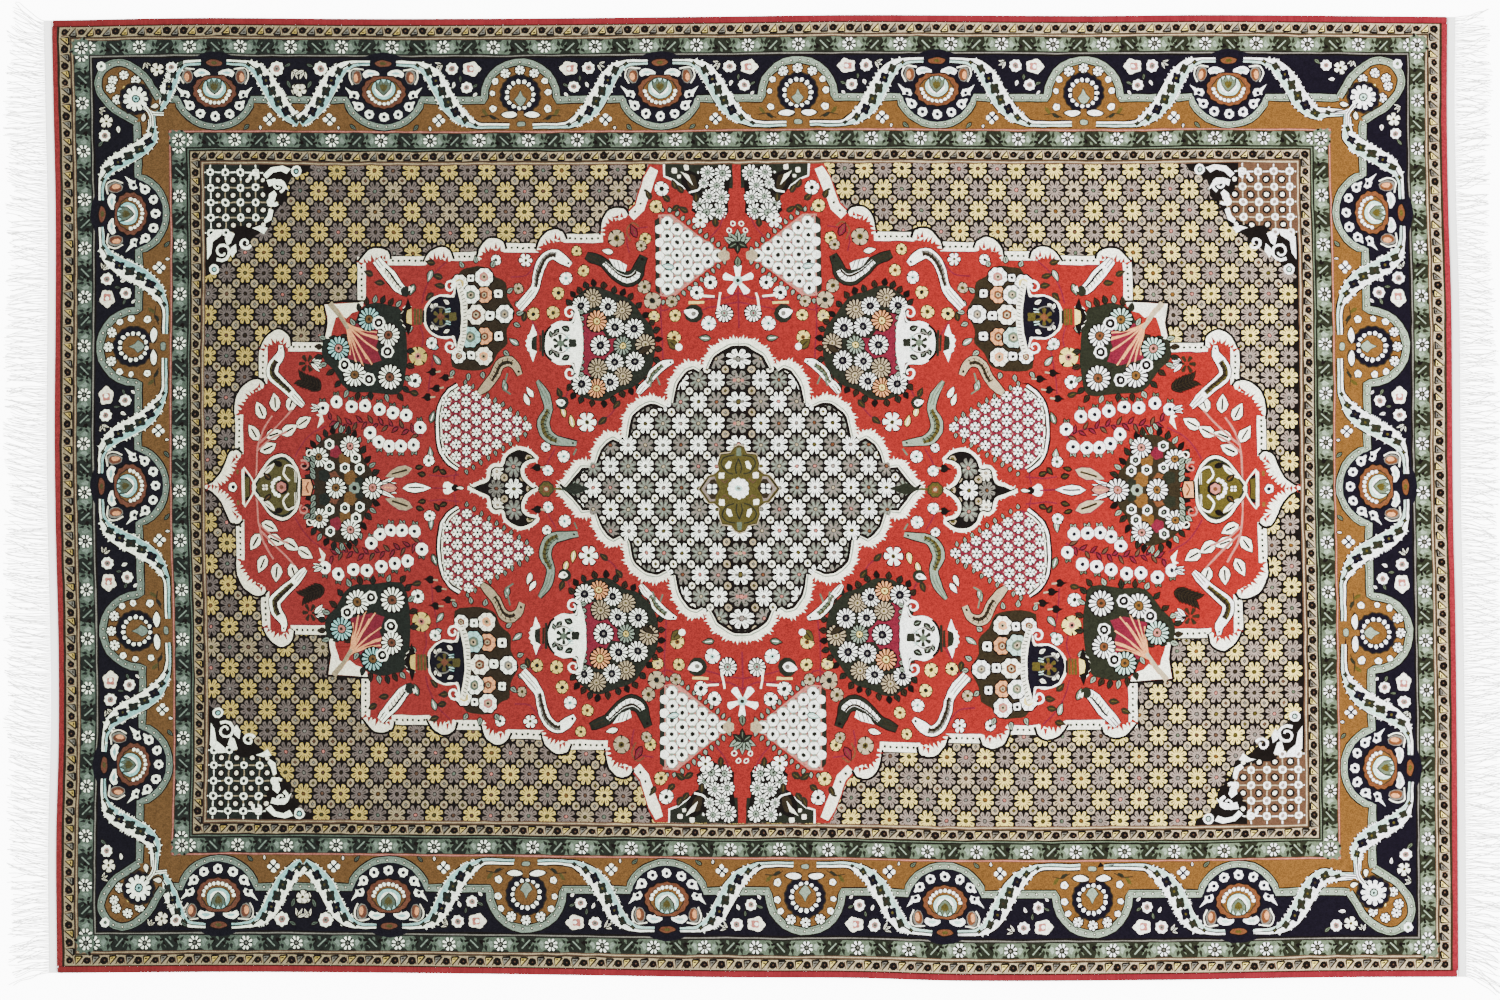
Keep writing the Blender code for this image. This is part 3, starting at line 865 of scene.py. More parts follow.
def draw_spandrel(pen, light):
    """Corner of the field: a net of small rings, edged with white scrolls."""
    pen.fill(SPANDREL, "black", 0)
    pen.line(SPANDREL[1:], 2.2, "black")
    net = "line_brown" if light else "dark_green"
    pen.fill(((0, 0), (56, 0), (56, 20), (66, 34), (66, 54), (44, 62), (30, 62), (24, 70), (0, 70)), net, 0)
    for i in range(5):
        for j in range(5):
            x, y = 6 + 15.4 * i, 8 + 15.2 * j
            if x + y > 116 or (i == 4 and j != 3 and j != 2) or (j == 4 and i > 1):
                continue
            for a in range(4):
                c, s = math.cos(a * TAU / 4), math.sin(a * TAU / 4)
                pen.line(((x + 3 * c, y + 3 * s), (x + 7.7 * c, y + 7.7 * s)), 1.2,
                         "white" if j == 0 or i == 0 else
                         "cream")
    for i in range(5):
        for j in range(5):
            x, y = 6 + 15.4 * i, 8 + 15.2 * j
            if x + y > 116 or (i == 4 and j != 3 and j != 2) or (j == 4 and i > 1):
                continue
            pen.at(x, y).fill(ring_of(8, 4.9), "black" if not light else "olive")
            pen.at(x, y).fill(ring_of(8, 4.1), "white")
            pen.dot(x, y, 2.0, "dark_green" if not light else "mauve", 6)
            if x < 62 and y < 62:
                pen.at(x + 7.7, y + 7.6).fill(ring_of(8, 4.3), "black")
                pen.dot(x + 7.7, y + 7.6, 2.4, "ivory", 6)
    for x, y, r, turns, start, hand in ((52, 12, 6, 0.8, 2.6, 1), (75, 21, 7.5, 1.1, 1.2, -1),
                                        (41, 79, 6.4, 1.1, 0.4, 1),
                                        (17, 88, 9.5, 1.3, 2.2, -1), (70, 36, 5.5, 0.9, 0.6, 1)):
        curl(pen.at(x, y), r, turns, 3.2, "white", start, hand)
    for x, y in ((94, 6), (9, 106)):
        pen.at(x, y).fill(ring_of(9, 5.4), "white")
        pen.dot(x, y, 3.2, "black", 8)
        pen.dot(x, y, 1.9, "aqua", 6)
    for shape in (((60, 10), (68, 3), (80, 1), (88, 4), (84, 9), (78, 6), (70, 8), (64, 14)),
                  ((64, 16), (72, 14), (82, 18), (86, 26), (80, 22), (72, 20), (66, 22)),
                  ((66, 30), (71, 26), (74, 30), (71, 38), (66, 40)),
                  ((66, 44), (70, 46), (68, 56), (62, 60), (60, 56), (64, 52)),
                  ((2, 74), (10, 66), (18, 66), (16, 72), (8, 78), (6, 90), (2, 96)),
                  ((20, 74), (26, 68), (30, 70), (26, 80), (22, 82)),
                  ((26, 84), (31, 80), (32, 88), (28, 94), (25, 90)),
                  ((48, 64), (56, 62), (64, 64), (60, 70), (54, 66))):
        pen.fill(shape, "white")


# ---------------------------------------------------------------- the red medallion

FLATS = (((139.6, 255), (174, 255)), ((205, 245.4), (236, 245.4)), ((267, 237), (292, 237)),
         ((325, 232.6), (358.6, 232.6)), ((393.6, 229), (393.6, 189)), ((431.6, 145.4), (466, 145.4)),
         ((500, 140), (500, 107)), ((526, 70), (526, 36)))
LOBES = (((110, 274), (114, 280), (121, 281.6), (130, 278.6), (136.6, 269), (138.7, 254)),
         ((174, 250), (177.5, 257.6), (186, 260), (194, 257.6), (202, 249), (205, 239)),
         ((236, 240), (240.4, 248), (250, 251.6), (259, 248), (264.6, 241), (267, 231)),
         ((292, 230), (295.7, 239.4), (306, 242.6), (317, 237.8), (324.4, 227)),
         ((358.6, 230), (361, 237.6), (370, 241), (381, 239.6), (389, 232), (393.6, 226)),
         ((466, 142), (468.6, 152.6), (479, 158.4), (489, 155), (495.8, 147), (500, 138)),
         ((493.6, 102.6), (498, 107.6), (507, 108), (519, 101), (525.4, 90), (527, 78), (526, 69)),
         ((519, 33), (525, 37.4), (533, 34.6), (538.6, 23), (544, 13), (552.6, 4.8), (564, 0)))
TOP_EDGE = ((88, 324), (94, 312), (101, 294), (104, 285), (113, 276))
STEP = ((387, 188.6), (430.6, 186), (427, 166), (430.6, 145))
HEART_LINE = ((0, 149), (11, 149.4), (23, 143.4), (31, 136), (36, 122), (44.4, 127.4), (56, 125),
              (64.4, 115.6),
              (69.6, 104), (71.6, 86), (83, 92), (96, 91.4), (107.4, 84), (115, 73), (117.8, 52),
              (127.6, 57.6),
              (138.7, 52.6), (146.6, 41.6), (150.4, 27), (162, 28.6), (169, 22), (178, 10), (187, 0))


def medallion_outline():
    order = (LOBES[0], FLATS[0], LOBES[1], FLATS[1], LOBES[2], FLATS[2], LOBES[3], FLATS[3], LOBES[4],
             FLATS[4],
             STEP, FLATS[5], LOBES[5], FLATS[6], LOBES[6], FLATS[7], LOBES[7])
    return np.vstack([TOP_EDGE] + [np.asarray(x, float) for x in order])


def quarters(pen):
    for sx in (1, -1):
        for sy in (1, -1):
            yield Pen(pen.cartoon, ((sx, 0), (0, sy)), (0, 0))


def draw_medallion_ground(pen):
    """Red ground of each quarter, its ivory edging and dotted straights."""
    outline = medallion_outline()
    heart = np.asarray(HEART_LINE, float)
    for quarter in quarters(pen):
        body = np.vstack((((0, 324),), outline, heart[::-1]))
        quarter.slab(body, "red", 10)
    for quarter in quarters(pen):
        quarter.line(np.asarray(TOP_EDGE) - (5.5, 4), (8, 11, 10, 10, 9), "ivory")
        for x, y in ((93, 298), (97.6, 285), (103, 277)):
            quarter.dot(x, y, 1.5, "dark_green", 5)
        for a, b in FLATS:
            a, b = np.array(a), np.array(b)
            way = (b - a) / np.linalg.norm(b - a)
            inward = np.array((way[1], -way[0]))
            line = np.array((a - way * 3, (a + b) / 2, b + way * 3)) + inward * 4
            quarter.line(line, 9.0, "ivory")
            quarter.line(line - inward * 4.9, 1.0, "black")
            quarter.line(line + inward * 4.8, 0.8, "crimson")
            for x, y, turn in walked(line, 5.8, 5.0):
                quarter.dot(x, y, 1.5, "dark_green", 5)
        for lobe in LOBES:
            arc = curve(lobe, 4)
            t = np.linspace(0, 1, len(arc))
            wide = 4 + 8.5 * np.sin(np.clip(t * 1.15, 0, 1) * math.pi) ** 0.7
            quarter.line(offset(arc, 0.4), 3.0, "black")
            quarter.line(offset(arc, -wide / 2 - 0.4), wide, "ivory")
            for k, (x, y, turn) in enumerate(walked(offset(arc, -wide - 0.4), 4.2, 3.0)):
                tooth = quarter.at(x, y, turn)
                high = 4.5 + 2.2 * math.sin(k * 2.1)
                tooth.fill(((-1.9, -0.8), (1.9, -0.8), (0.9, high)), "red")
        quarter.line(((387, 188), (409, 187.4), (430.6, 186)), 2.4, "black")
        quarter.line(((430.6, 186), (427.4, 166), (430.6, 145)), 2.4, "black")
        quarter.fill(((388, 187), (429, 184.6), (426, 166), (429, 146), (424, 146), (421.6, 158),
                      (418.6, 167),
                      (417.6, 171), (411, 173.6), (406, 170.6), (400, 176), (393, 178), (388, 183)), "ivory")


def serrate(quarter, line, out, yarn, step=3.4):
    """Small spikes along a line, to one side."""
    for k, (x, y, turn) in enumerate(walked(line, step, 1.0)):
        high = out * (0.7 + 0.5 * math.sin(k * 1.7))
        quarter.at(x, y, turn).fill(((-1.6, -0.6 * np.sign(out)), (1.7, -0.6 * np.sign(out)), (1.2, high)),
                                    yarn)


def draw_heart_lattice(pen):
    """White and grey florets of the middle medallion."""
    pen.slab(((-190, -156), (190, -156), (190, 156), (-190, 156)), "black")
    spots = [0.0] + [22.3 + 17.9 * k for k in range(9)]
    chance = pen.cartoon.chance
    for j in range(-7, 8):
        y = 21.5 * j + 1
        for i, u in enumerate(spots):
            for sx in ((1, -1) if i else (1,)):
                x = sx * u
                if abs(x) / 205 + abs(y) / 190 > 1.06:
                    continue
                white = (i + j) % 2 == 0
                wide = 11.6 if i == 0 else 7.9
                spot = pen.at(x, y)
                if white:
                    cell_flower(spot, wide, 9.2, "white", "grey",
                                chance.choice(("mauve", "olive", "grey", "pink")))
                else:
                    cell_flower(spot, wide, 9.2, "grey", "dark_green",
                                chance.choice(("pink", "rust", "cream")))
                    petals(spot, 8, 2.4, 7.4, 1.6, "pale_green" if chance.random() < 0.5 else "mauve",
                           turn=TAU / 16)
                    for a in range(8):
                        spot.dot(5.6 * math.cos(a * TAU / 8), 6.2 * math.sin(a * TAU / 8), 1.0,
                                 "dark_green", 5)
                if i == 0 and sx == 1:
                    for dx in (-4, 4):
                        spot.dot(dx, 0, 1.9, "grey" if white else "pink", 6)
                if i:
                    near = spots[i - 1]
                    if i == 1:
                        near = 4.0
                    cell_lozenge(pen.at(sx * (u + near) / 2, y + 10.75), 3.1, "ivory" if i > 1 else "cream",
                                 chance.choice(("grey", "olive")))


def draw_centre(pen):
    """Olive cross with a long white rosette, in the very middle."""
    half = ((0, 43), (5, 41), (8, 35.4), (17, 34), (20, 25), (19.4, 18.4), (24, 14.4), (29.6, 13), (38.6, 0))
    shape = list(half) + [(x, -y) for x, y in half[-2::-1]]
    shape = shape + [(-x, y) for x, y in shape[-2:0:-1]]
    pen.fill(np.array(shape) * (1.06, 1.05), "cream", 0)
    pen.fill(np.array(shape) * (1.035, 1.02), "black", 0)
    pen.fill(shape, "olive", 0)
    for sx in (-1, 1):
        side = Pen(pen.cartoon, pen.turn @ np.diag((sx, 1)), pen.place)
        side.fill(((24, 12.6), (29, 11.8), (37.4, 0), (29, -11.8), (24, -12.6), (21, 0)), "mauve")
        side.fill(((24, 10), (28, 9.8), (34, 0), (28, -9.8), (24, -10), (19, 0)), "brown")
        four_petal(side.at(27, 0), 6, "white", "navy")
        for sy in (-1, 1):
            part = Pen(pen.cartoon, side.turn @ np.diag((1, sy)), side.place)
            part.line(curve(((4, 34), (13, 32), (17, 25), (12, 17), (5, 15))), 1.2, "dark_green")
            part.line(curve(((0, 30), (3, 22), (2, 15))), 1.2, "dark_green")
            part.at(8.4, 27.6, -1.15).fill(((0, -1.6), (6, -2.6), (9, 0), (6, 2.4), (0, 1.4)), "ivory")
            part.at(17, 13.4).fill(lobed(4, 3.8, 0.3), "ivory")
            part.line(((10, 10), (14, 6), (17, 9)), 1.2, "line_brown")
    pen.fill(((-2.6, 33), (2.6, 33), (2, 41), (-2, 41)), "grey_green")
    pen.fill(((-2.6, -33), (2.6, -33), (2, -41), (-2, -41)), "grey_green")
    petals(pen, 12, 3, 10.6, 4.6, "white")
    pen.fill(ring_of(8, 1, 4, 3), "aqua")
    pen.fill(ring_of(6, 1, 2, 1.6), "grey")


def draw_heart_edge(pen):
    """White serrated edging of the middle medallion, with its dark inner line."""
    line = np.asarray(HEART_LINE, float)
    cusps = (0, 4, 9, 14, 18, 22)
    for quarter in quarters(pen):
        for a, b in zip(cusps, cusps[1:]):
            arc = curve(line[a:b + 1], 4)
            t = np.linspace(0, 1, len(arc))
            wide = 5.6 + 2.6 * np.sin(t * math.pi)
            quarter.line(offset(arc, -wide - 1.2), 3.4, "black")
            quarter.line(offset(arc, -wide / 2), wide, "ivory")
            quarter.line(offset(arc, -wide * 0.75), 1.2, "pale_green")
            serrate(quarter, arc, 3.6, "ivory")
    for sx in (1, -1):
        half = Pen(pen.cartoon, ((sx, 0), (0, 1)), (0, 0))
        half.line(((180, 0), (205, 0)), 2.6, "olive")
        half.fill(((150, 0), (166, -6), (182, 0), (166, 6)), "dark_green")
        half.at(196, 0).fill(lobed(8, 8.4, 0.1), "dark_green")
        half.at(196, 0).fill(lobed(8, 7.4, 0.14), "olive")
        half.at(196, 0).fill(ring_of(4, 4.4, turn=TAU / 8), "rust")
        half.dot(196, 0, 2.0, "cream", 6)


PENDANT = ((205, 0), (213, 5), (219.6, 13), (219.6, 22), (214, 27), (206.6, 29), (206, 32), (213, 37.6),
           (223, 40), (233, 37), (239, 31), (242, 23), (249, 23.6), (254, 20), (256.6, 9), (266, 5),
           (277, 0))


def draw_pendant(half):
    """Small cross-shaped medallion beyond each end of the middle one."""
    up = list(PENDANT)
    shape = up + [(x, -y) for x, y in up[-2:0:-1]]
    half.fill(shape, "black", 0)
    cell_flower(half.at(229.4, 0), 8.4, 9.4, "white", "grey", "olive")
    for y in (-21.6, 21.6):
        spot = half.at(229.4, y)
        cell_flower(spot, 8.6, 9.6, "grey", "dark_green", "pink")
        petals(spot, 8, 2.4, 7.6, 1.6, "pale_green", turn=TAU / 16)
        cell_flower(half.at(246.6, y * 0.78), 6.4, 7.4, "ivory", "pale_green", "cream")
        half.at(213.4, y * 1.42).fill(ring_of(6, 3.6), "cream")
        half.at(213.4, y * 1.42).fill(ring_of(6, 2.2), "olive")
    spot = half.at(247.6, 0)
    cell_flower(spot, 8, 8.6, "grey", "dark_green", "rust")
    for x, y in ((219.6, 10.8), (239, 10.8), (219.6, -10.8), (239, -10.8), (213, 0)):
        cell_lozenge(half.at(x, y), 3.0, "cream", "olive")
    for sy in (1, -1):
        side = Pen(half.cartoon, half.turn @ np.diag((1, sy)), half.place)
        edge = curve(PENDANT, 3)
        side.line(edge, 3.6, "ivory")
        side.line(offset(edge, -2.4), 1.6, "black")
        serrate(side, edge, 3.6, "ivory", 3.6)


# ---------------------------------------------------------------- flowers, vases and birds of the medallion

LEFT_BUNCH = ((117.5, 178.5, 9.6, 1), (132, 182, 9, 0), (147.8, 190.6, 9.6, 1), (160, 183, 9, 0),
              (105.4, 160.3, 10, 0), (124.8, 161.5, 9.4, 0), (143.6, 167.6, 10.4, 2), (93.9, 144.6, 9.8, 1),
              (117, 143.4, 9, 3), (140, 143.4, 10, 0), (104.2, 127.6, 9.6, 0), (124.8, 127, 9, 0),
              (142.4, 120.3, 10, 1), (116.3, 113, 9.2, 1), (129.6, 107, 9, 0), (143.6, 100.6, 9.8, 2),
              (158.7, 104.6, 10, 0))
RIGHT_BUNCH = ((260, 212, 9.6, "white", "pink"), (285.4, 206, 9, "white", "butter"),
               (260, 194, 8.4, "peach", "rust"), (274, 194.4, 9.6, "white", "grey_green"),
               (238.8, 175, 9.4, "white", "grey"), (268.4, 174.4, 10.4, "ivory", "rust"),
               (260, 152.6, 9, "peach", "rust"), (274.6, 152, 10.8, "aqua", "grey_green"),
               (260.6, 132.6, 9.6, "ivory", "peach"), (287, 133, 7.6, "white", "rust"))
SMALL_WHITE = ((273.9, 211, 4.4), (245.4, 195, 4.8), (253.9, 173.6, 5.4), (244.8, 153, 5.4),
               (273.9, 133.4, 5))


def rim_leaves(pen, centre, points, length=9.0, width=5.0, yarns=("dark_green", "pale_green", "brown")):
    """Leaves that stand out all round a bunch."""
    for k, (x, y) in enumerate(points):
        turn = math.atan2(y - centre[1], x - centre[0])
        leaf(pen.at(x, y, turn), length, width, yarns[k % len(yarns)], "black")


def scroll_vase(pen, body, edge, inner, spots, neck, foot, foot_yarn):
    """Vase on its side: rim with scrolled ends, round body, neck and foot. x runs from rim to foot."""
    shape = ((0, 33), (2.5, 20), (9, 21), (17, 20.5), (25, 17), (31, 10), (33, 0), (31, -10), (25, -17),
             (17, -20.5), (9, -21), (2.5, -20), (0, -33), (-4, -16), (-5, 0), (-4, 16))
    p = curve(shape, 3, True)
    pen.fill(p * (1.08, 1.06), edge, 0)
    pen.fill(p, body, 0)
    pen.line(curve(((0, 34), (-4.4, 16), (-5.4, 0), (-4.4, -16), (0, -34))), 2.0,
             edge if body != "white" else "white")
    for sy in (1, -1):
        side = Pen(pen.cartoon, pen.turn @ np.diag((1, sy)), pen.place)
        curl(side.at(7, 30), 6.6, 1.1, 2.6, "white", 2.8, -1)
        side.line(curve(((1.5, 30), (4, 22), (10, 20.4), (18, 21), (26, 17.4))), 1.6, "white")
        for x, y, length, width, turn, yarn in spots:
            leaf(side.at(x, y, turn), length, width, yarn, inner)
    for sy in (1, -1):
        pen.line(curve(((8, 4 * sy), (14, 9 * sy), (22, 10 * sy), (27, 5 * sy))), 1.3, "grey")
    petals(pen.at(17, 0), 6, 2, 8.6, 4.2, "olive" if body == "navy" else "dark_green", 0.5)
    pen.at(17, 0).fill(ring_of(4, 4.4), "rust" if body == "navy" else "grey_green")
    pen.at(4.5, 0).fill(lobed(4, 5.4, 0.3), "olive" if body == "navy" else "dark_green")
    for y in (-9, -6, 6, 9):
        pen.line(((7, y * 0.9), (12, y * 0.75)), 1.0, "aqua")
    pen.fill(((34, 10 * neck), (36.5, 10 * neck), (36.5, -10 * neck), (34, -10 * neck)), "dark_green")
    for x in np.arange(38, 38 + 9 * (1.6 - neck), 3.2):
        pen.line(((x, -8), (x, 8)), 2.4, "olive" if foot == "dark" else "brown")
    x = 39 + 9 * (1.6 - neck)
    half_disc = [(x, -9), (x, 9)] + [(x + (10 + (k % 2) * 1.6) * math.cos(a), 13 * math.sin(a))
                                     for k, a in enumerate(np.linspace(1.2, -1.2, 13))]
    pen.fill(np.array(half_disc) * (1.0, 1.12), "ivory" if foot == "dark" else "black")
    pen.fill(half_disc, "black" if foot == "dark" else "white")
    pen.fill(((x, -8), (x, 8), (x + 5, 6), (x + 6, 0), (x + 5, -6)), foot_yarn)
    for sy in (1, -1):
        pen.fill(((x, 9 * sy), (x + 4, 19 * sy), (x + 7, 10 * sy)), "black" if foot == "dark" else "white")


def bird(pen, body, wing, tail, head="white", legs=None):
    """Long bird: (x, y) runs of its back from beak to tail, with widths."""
    spine = curve([(x, y) for x, y, w in body], 3)
    widths = curve([(x, w) for x, y, w in body], 3)[:, 1]
    pen.line(spine, widths + 2.0, "black")
    pen.line(spine, widths, head)
    n = len(spine)
    mid = spine[n // 4:3 * n // 4]
    w = widths[n // 4:3 * n // 4]
    pen.line(mid, w * 0.5, wing)
    pen.line(offset(mid, w * 0.14), w * 0.16, tail)
    for x, y, turn in walked(mid, 4.4, 2):
        pen.at(x, y, turn).line(((-1.2, -3.0), (0.4, 0), (-1.2, 3.0)), 0.9, "black")
    for side in (-1, 1):
        pen.line(offset(spine[-n // 4:], side * 1.5), 0.9, tail)
    x, y = spine[1]
    pen.dot(x, y, max(1.2, widths[1] * 0.22), "black", 6)
    for a, b, c, d in legs or ():
        pen.line(((a, b), (c, d)), 1.8, "grey_green")


def draw_net(pen):
    """Triangular net of ringed flowers at the head of the medallion."""
    pen.fill(((13, 233), (66, 274), (80, 274), (80, 193), (66, 191)), "pink", 0)
    pen.fill(((78.6, 272), (83.4, 268), (83.4, 198), (78.6, 194)), "dark_green")
    for k in range(6):
        x = 20.3 + 10.15 * k
        for j in range(k + 1):
            y = 233 + 13.2 * (j - k / 2)
            pen.at(x, y).fill(lobed(6, 6.9, 0.06), "pale_green")
    for k in range(7):
        x = 20.3 + 10.15 * k
        for j in range(k + 1):
            y = 233 + 13.2 * (j - k / 2)
            if k == 6:
                if j in (0, 6):
                    continue
                pen.at(x - 2.4, y).fill(lobed(5, 4.6, 0.1), "white")
                continue
            spot = pen.at(x, y)
            spot.fill(lobed(8, 5.9, 0.1), "white")
            spot.fill(lobed(6, 2.5, 0.2), "dark_green")
            spot.dot(0, 0, 1.0, "black", 5)
            for a in (-1, 1):
                spot.line(((3.4, 4.4 * a), (5.8, 6.0 * a)), 1.0, "crimson")
            spot.line(((-8.6, -0.9), (-5.4, -0.9)), 0.8, "crimson")
    for x, y, turn in walked(((12, 235), (66, 276), (78, 277)), 7.4, 3):
        leaf(pen.at(x, y, turn + 1.3), 5.4, 3.4, "pale_green")
    for x, y, turn in walked(((12, 231), (66, 190), (78, 189)), 7.4, 3):
        leaf(pen.at(x, y, turn - 1.3), 5.4, 3.4, "pale_green")


def panel_flower(pen, r):
    pen.dot(0, 0, r + 0.7, "brown", 8)
    petals(pen, 6, 0.8, r, r * 0.56, "white", turn=0.5)
    pen.dot(0, 0, r * 0.3, "dark_green", 5)


def draw_panel(pen):
    """Shield-shaped panel of small white flowers on crimson, with a white edge on its far side."""
    shape = ((211, 62), (244, 82), (281, 103), (292, 101), (301, 92), (307, 80), (309, 61), (307, 43),
             (301, 30),
             (292, 22), (281, 20), (244, 42))
    pen.fill(shape, "crimson", 0)
    arc = curve(((288, 104), (299, 96), (306.6, 82), (309, 61), (306.6, 40), (299, 27), (288, 19)))
    pen.line(offset(arc, 1.8), 2.2, "black")
    pen.line(arc, 2.4, "white")
    pen.line(offset(arc, -2.2), 1.6, "dark_green")
    pen.line(offset(arc, -3.8), 1.6, "ivory")
    for k in range(9):
        x = 215 + 10.6 * k
        count = min(k + 1, 7)
        if k > 6:
            count = 7 - (k % 2)
        for j in range(count):
            y = 62.5 + 12.2 * (j - (count - 1) / 2)
            if k == 8 and abs(y - 62) > 34:
                continue
            spot = pen.at(x, y)
            panel_flower(spot, 4.9)
            if k:
                spot.dot(-5.2, 0, 1.1, "pink", 5)
                spot.dot(5.4, 0, 1.1, "ivory" if k > 6 else "pink", 5)
    for x, y, turn in walked(((214, 66), (244, 84), (280, 104)), 9, 4):
        leaf(pen.at(x, y, turn + 1.2), 5, 3, "pale_green", "dark_green")
    for x, y, turn in walked(((214, 58), (244, 40), (280, 18)), 9, 4):
        leaf(pen.at(x, y, turn - 1.2), 5, 3, "pale_green", "dark_green")


BEADS = ((342, 73), (355.8, 75.4), (370, 78.6), (385.6, 82.4), (400, 81.6), (416.3, 86.2), (430.7, 80),
         (327, 61), (380.6, 55.4), (371, 46), (359.9, 42), (347.5, 42.4), (334, 43.4))


def draw_garland(pen):
    """Two runs of white beads round a crimson branch."""
    branch = curve(((326, 52), (344, 60), (364, 63), (386, 66), (408, 64), (426, 70)))
    pen.line(branch, 1.8, "crimson")
    for k, (x, y, turn) in enumerate(walked(branch, 5.6, 4)):
        hand = 1 if k % 2 else -1
        leaf(pen.at(x, y, turn + hand * 0.9), 8.6, 2.6, "crimson" if k % 3 else "line_brown")
    for x, y in ((402, 60), (408, 62), (414, 66), (396, 57)):
        leaf(pen.at(x, y, -0.9), 10, 3.2, "pale_green", "dark_green")
    for x, y in BEADS:
        out = 1 if y > 58 else -1
        for a in (-0.5, 0.3):
            leaf(pen.at(x, y + 4 * out, out * 1.57 + a), 6.4, 3.2,
                 "grey_green" if out > 0 else "pale_green", "black")
        pen.at(x, y).fill(lobed(8, 7.2, 0.05), "crimson")
        pen.at(x, y).fill(lobed(8, 6.5, 0.06), "white")
        pen.dot(x, y, 2.2, "navy", 7)
    pen.fill(((430, 67), (437, 60), (434, 71), (438, 73), (432, 75)), "ivory")
    for a in (-0.4, 0.0, 0.4):
        leaf(pen.at(434, 80, a), 10, 3, "white", "black")


def draw_spray(pen):
    """Hanging fan of daisies on peach stems, from the step of the outline."""
    back = ((346, 176), (360, 184), (376, 186), (392, 178), (404, 150), (428, 150), (432, 132), (420, 118),
            (404, 98), (380, 96), (350, 94), (343, 112), (341, 138))
    pen.fill(curve(back, 3, True), "dark_green", 0)
    pen.fill(((368, 160), (398, 166), (410, 150), (404, 130), (382, 124), (368, 128), (374, 142)),
             "crimson", 0)
    rim_leaves(pen, (384, 140), curve(back, 2, True), 8, 4.6)
    apex = (417, 180)
    for x, y in ((368, 156), (367, 148), (372, 138), (378, 124), (388, 122), (396, 126), (384, 130),
                 (402, 134),
                 (372, 151)):
        pen.line(curve((apex, (407, 166), ((x + 402) / 2 + 1, (y + 160) / 2), (x, y))),
                 (3.4,) * 4 + (2.0,) * 4
                 + (1.6,) * 5, "peach")
    pen.line(((424, 186), (412, 172), (404, 160)), (6, 4.4, 3.6), "cream")
    for x, y, r, petal, heart in ((361, 153.6, 11.4, "white", "rust"), (359.4, 111.2, 12.4, "white", "rust"),
                                  (397, 113.7, 12, "white", "gold"), (414.5, 140.3, 11.6, "aqua", "pink"),
                                  (381.8, 169.6, 11.6, "aqua", "gold")):
        daisy(pen.at(x, y), r, 15, petal, "dark_green", heart, "brown")
    for x, y in ((361.8, 137), (382, 109), (371.4, 166), (408, 124)):
        pen.at(x, y).fill(lobed(7, 6.8, 0.1), "white")
        pen.dot(x, y, 4.8, "black", 8)
        pen.dot(x, y, 2.0, "white", 6)


def draw_bunch_vase(pen):
    """Round bunch of rosettes in a white scrolled vase."""
    hull = ((160, 196), (146, 203), (126, 196), (110, 190), (96, 172), (86, 158), (84, 140), (88, 120),
            (102, 104), (118, 98), (136, 88), (158, 92), (170, 104), (162, 144), (170, 184))
    pen.fill(curve(hull, 3, True), "dark_green", 0)
    pen.fill(((150, 176), (162, 172), (160, 116), (150, 112), (132, 134), (110, 152), (132, 150)),
             "crimson", 0)
    rim_leaves(pen, (135, 146), curve(hull, 2, True), 6.5, 5, ("brown", "dark_green", "black"))
    kinds = (("white", "black", "navy", "grey"), ("cream", "brown", "cream", "olive"),
             ("peach", "brown", "butter", "rust"), ("pale_green", "brown", "butter", "olive"))
    for x, y, r, kind in LEFT_BUNCH:
        petal, ground, heart, eye = kinds[kind]
        daisy(pen.at(x, y), r, 14, petal, ground, heart, eye)
    for y in np.arange(114, 178, 6.2):
        leaf(pen.at(157, y, 0.2), 6, 4.2, "pale_green", "black")
    spots = ((8, 13, 8, 5, 0.4, "dark_green"), (19, 14, 8, 4.6, -0.9, "dark_green"),
             (26, 7, 5, 3.4, 1.2, "dark_green"))
    scroll_vase(pen.at(164, 145.8), "white", "black", "pale_green", spots, 1.3, "pale", "dark_green")


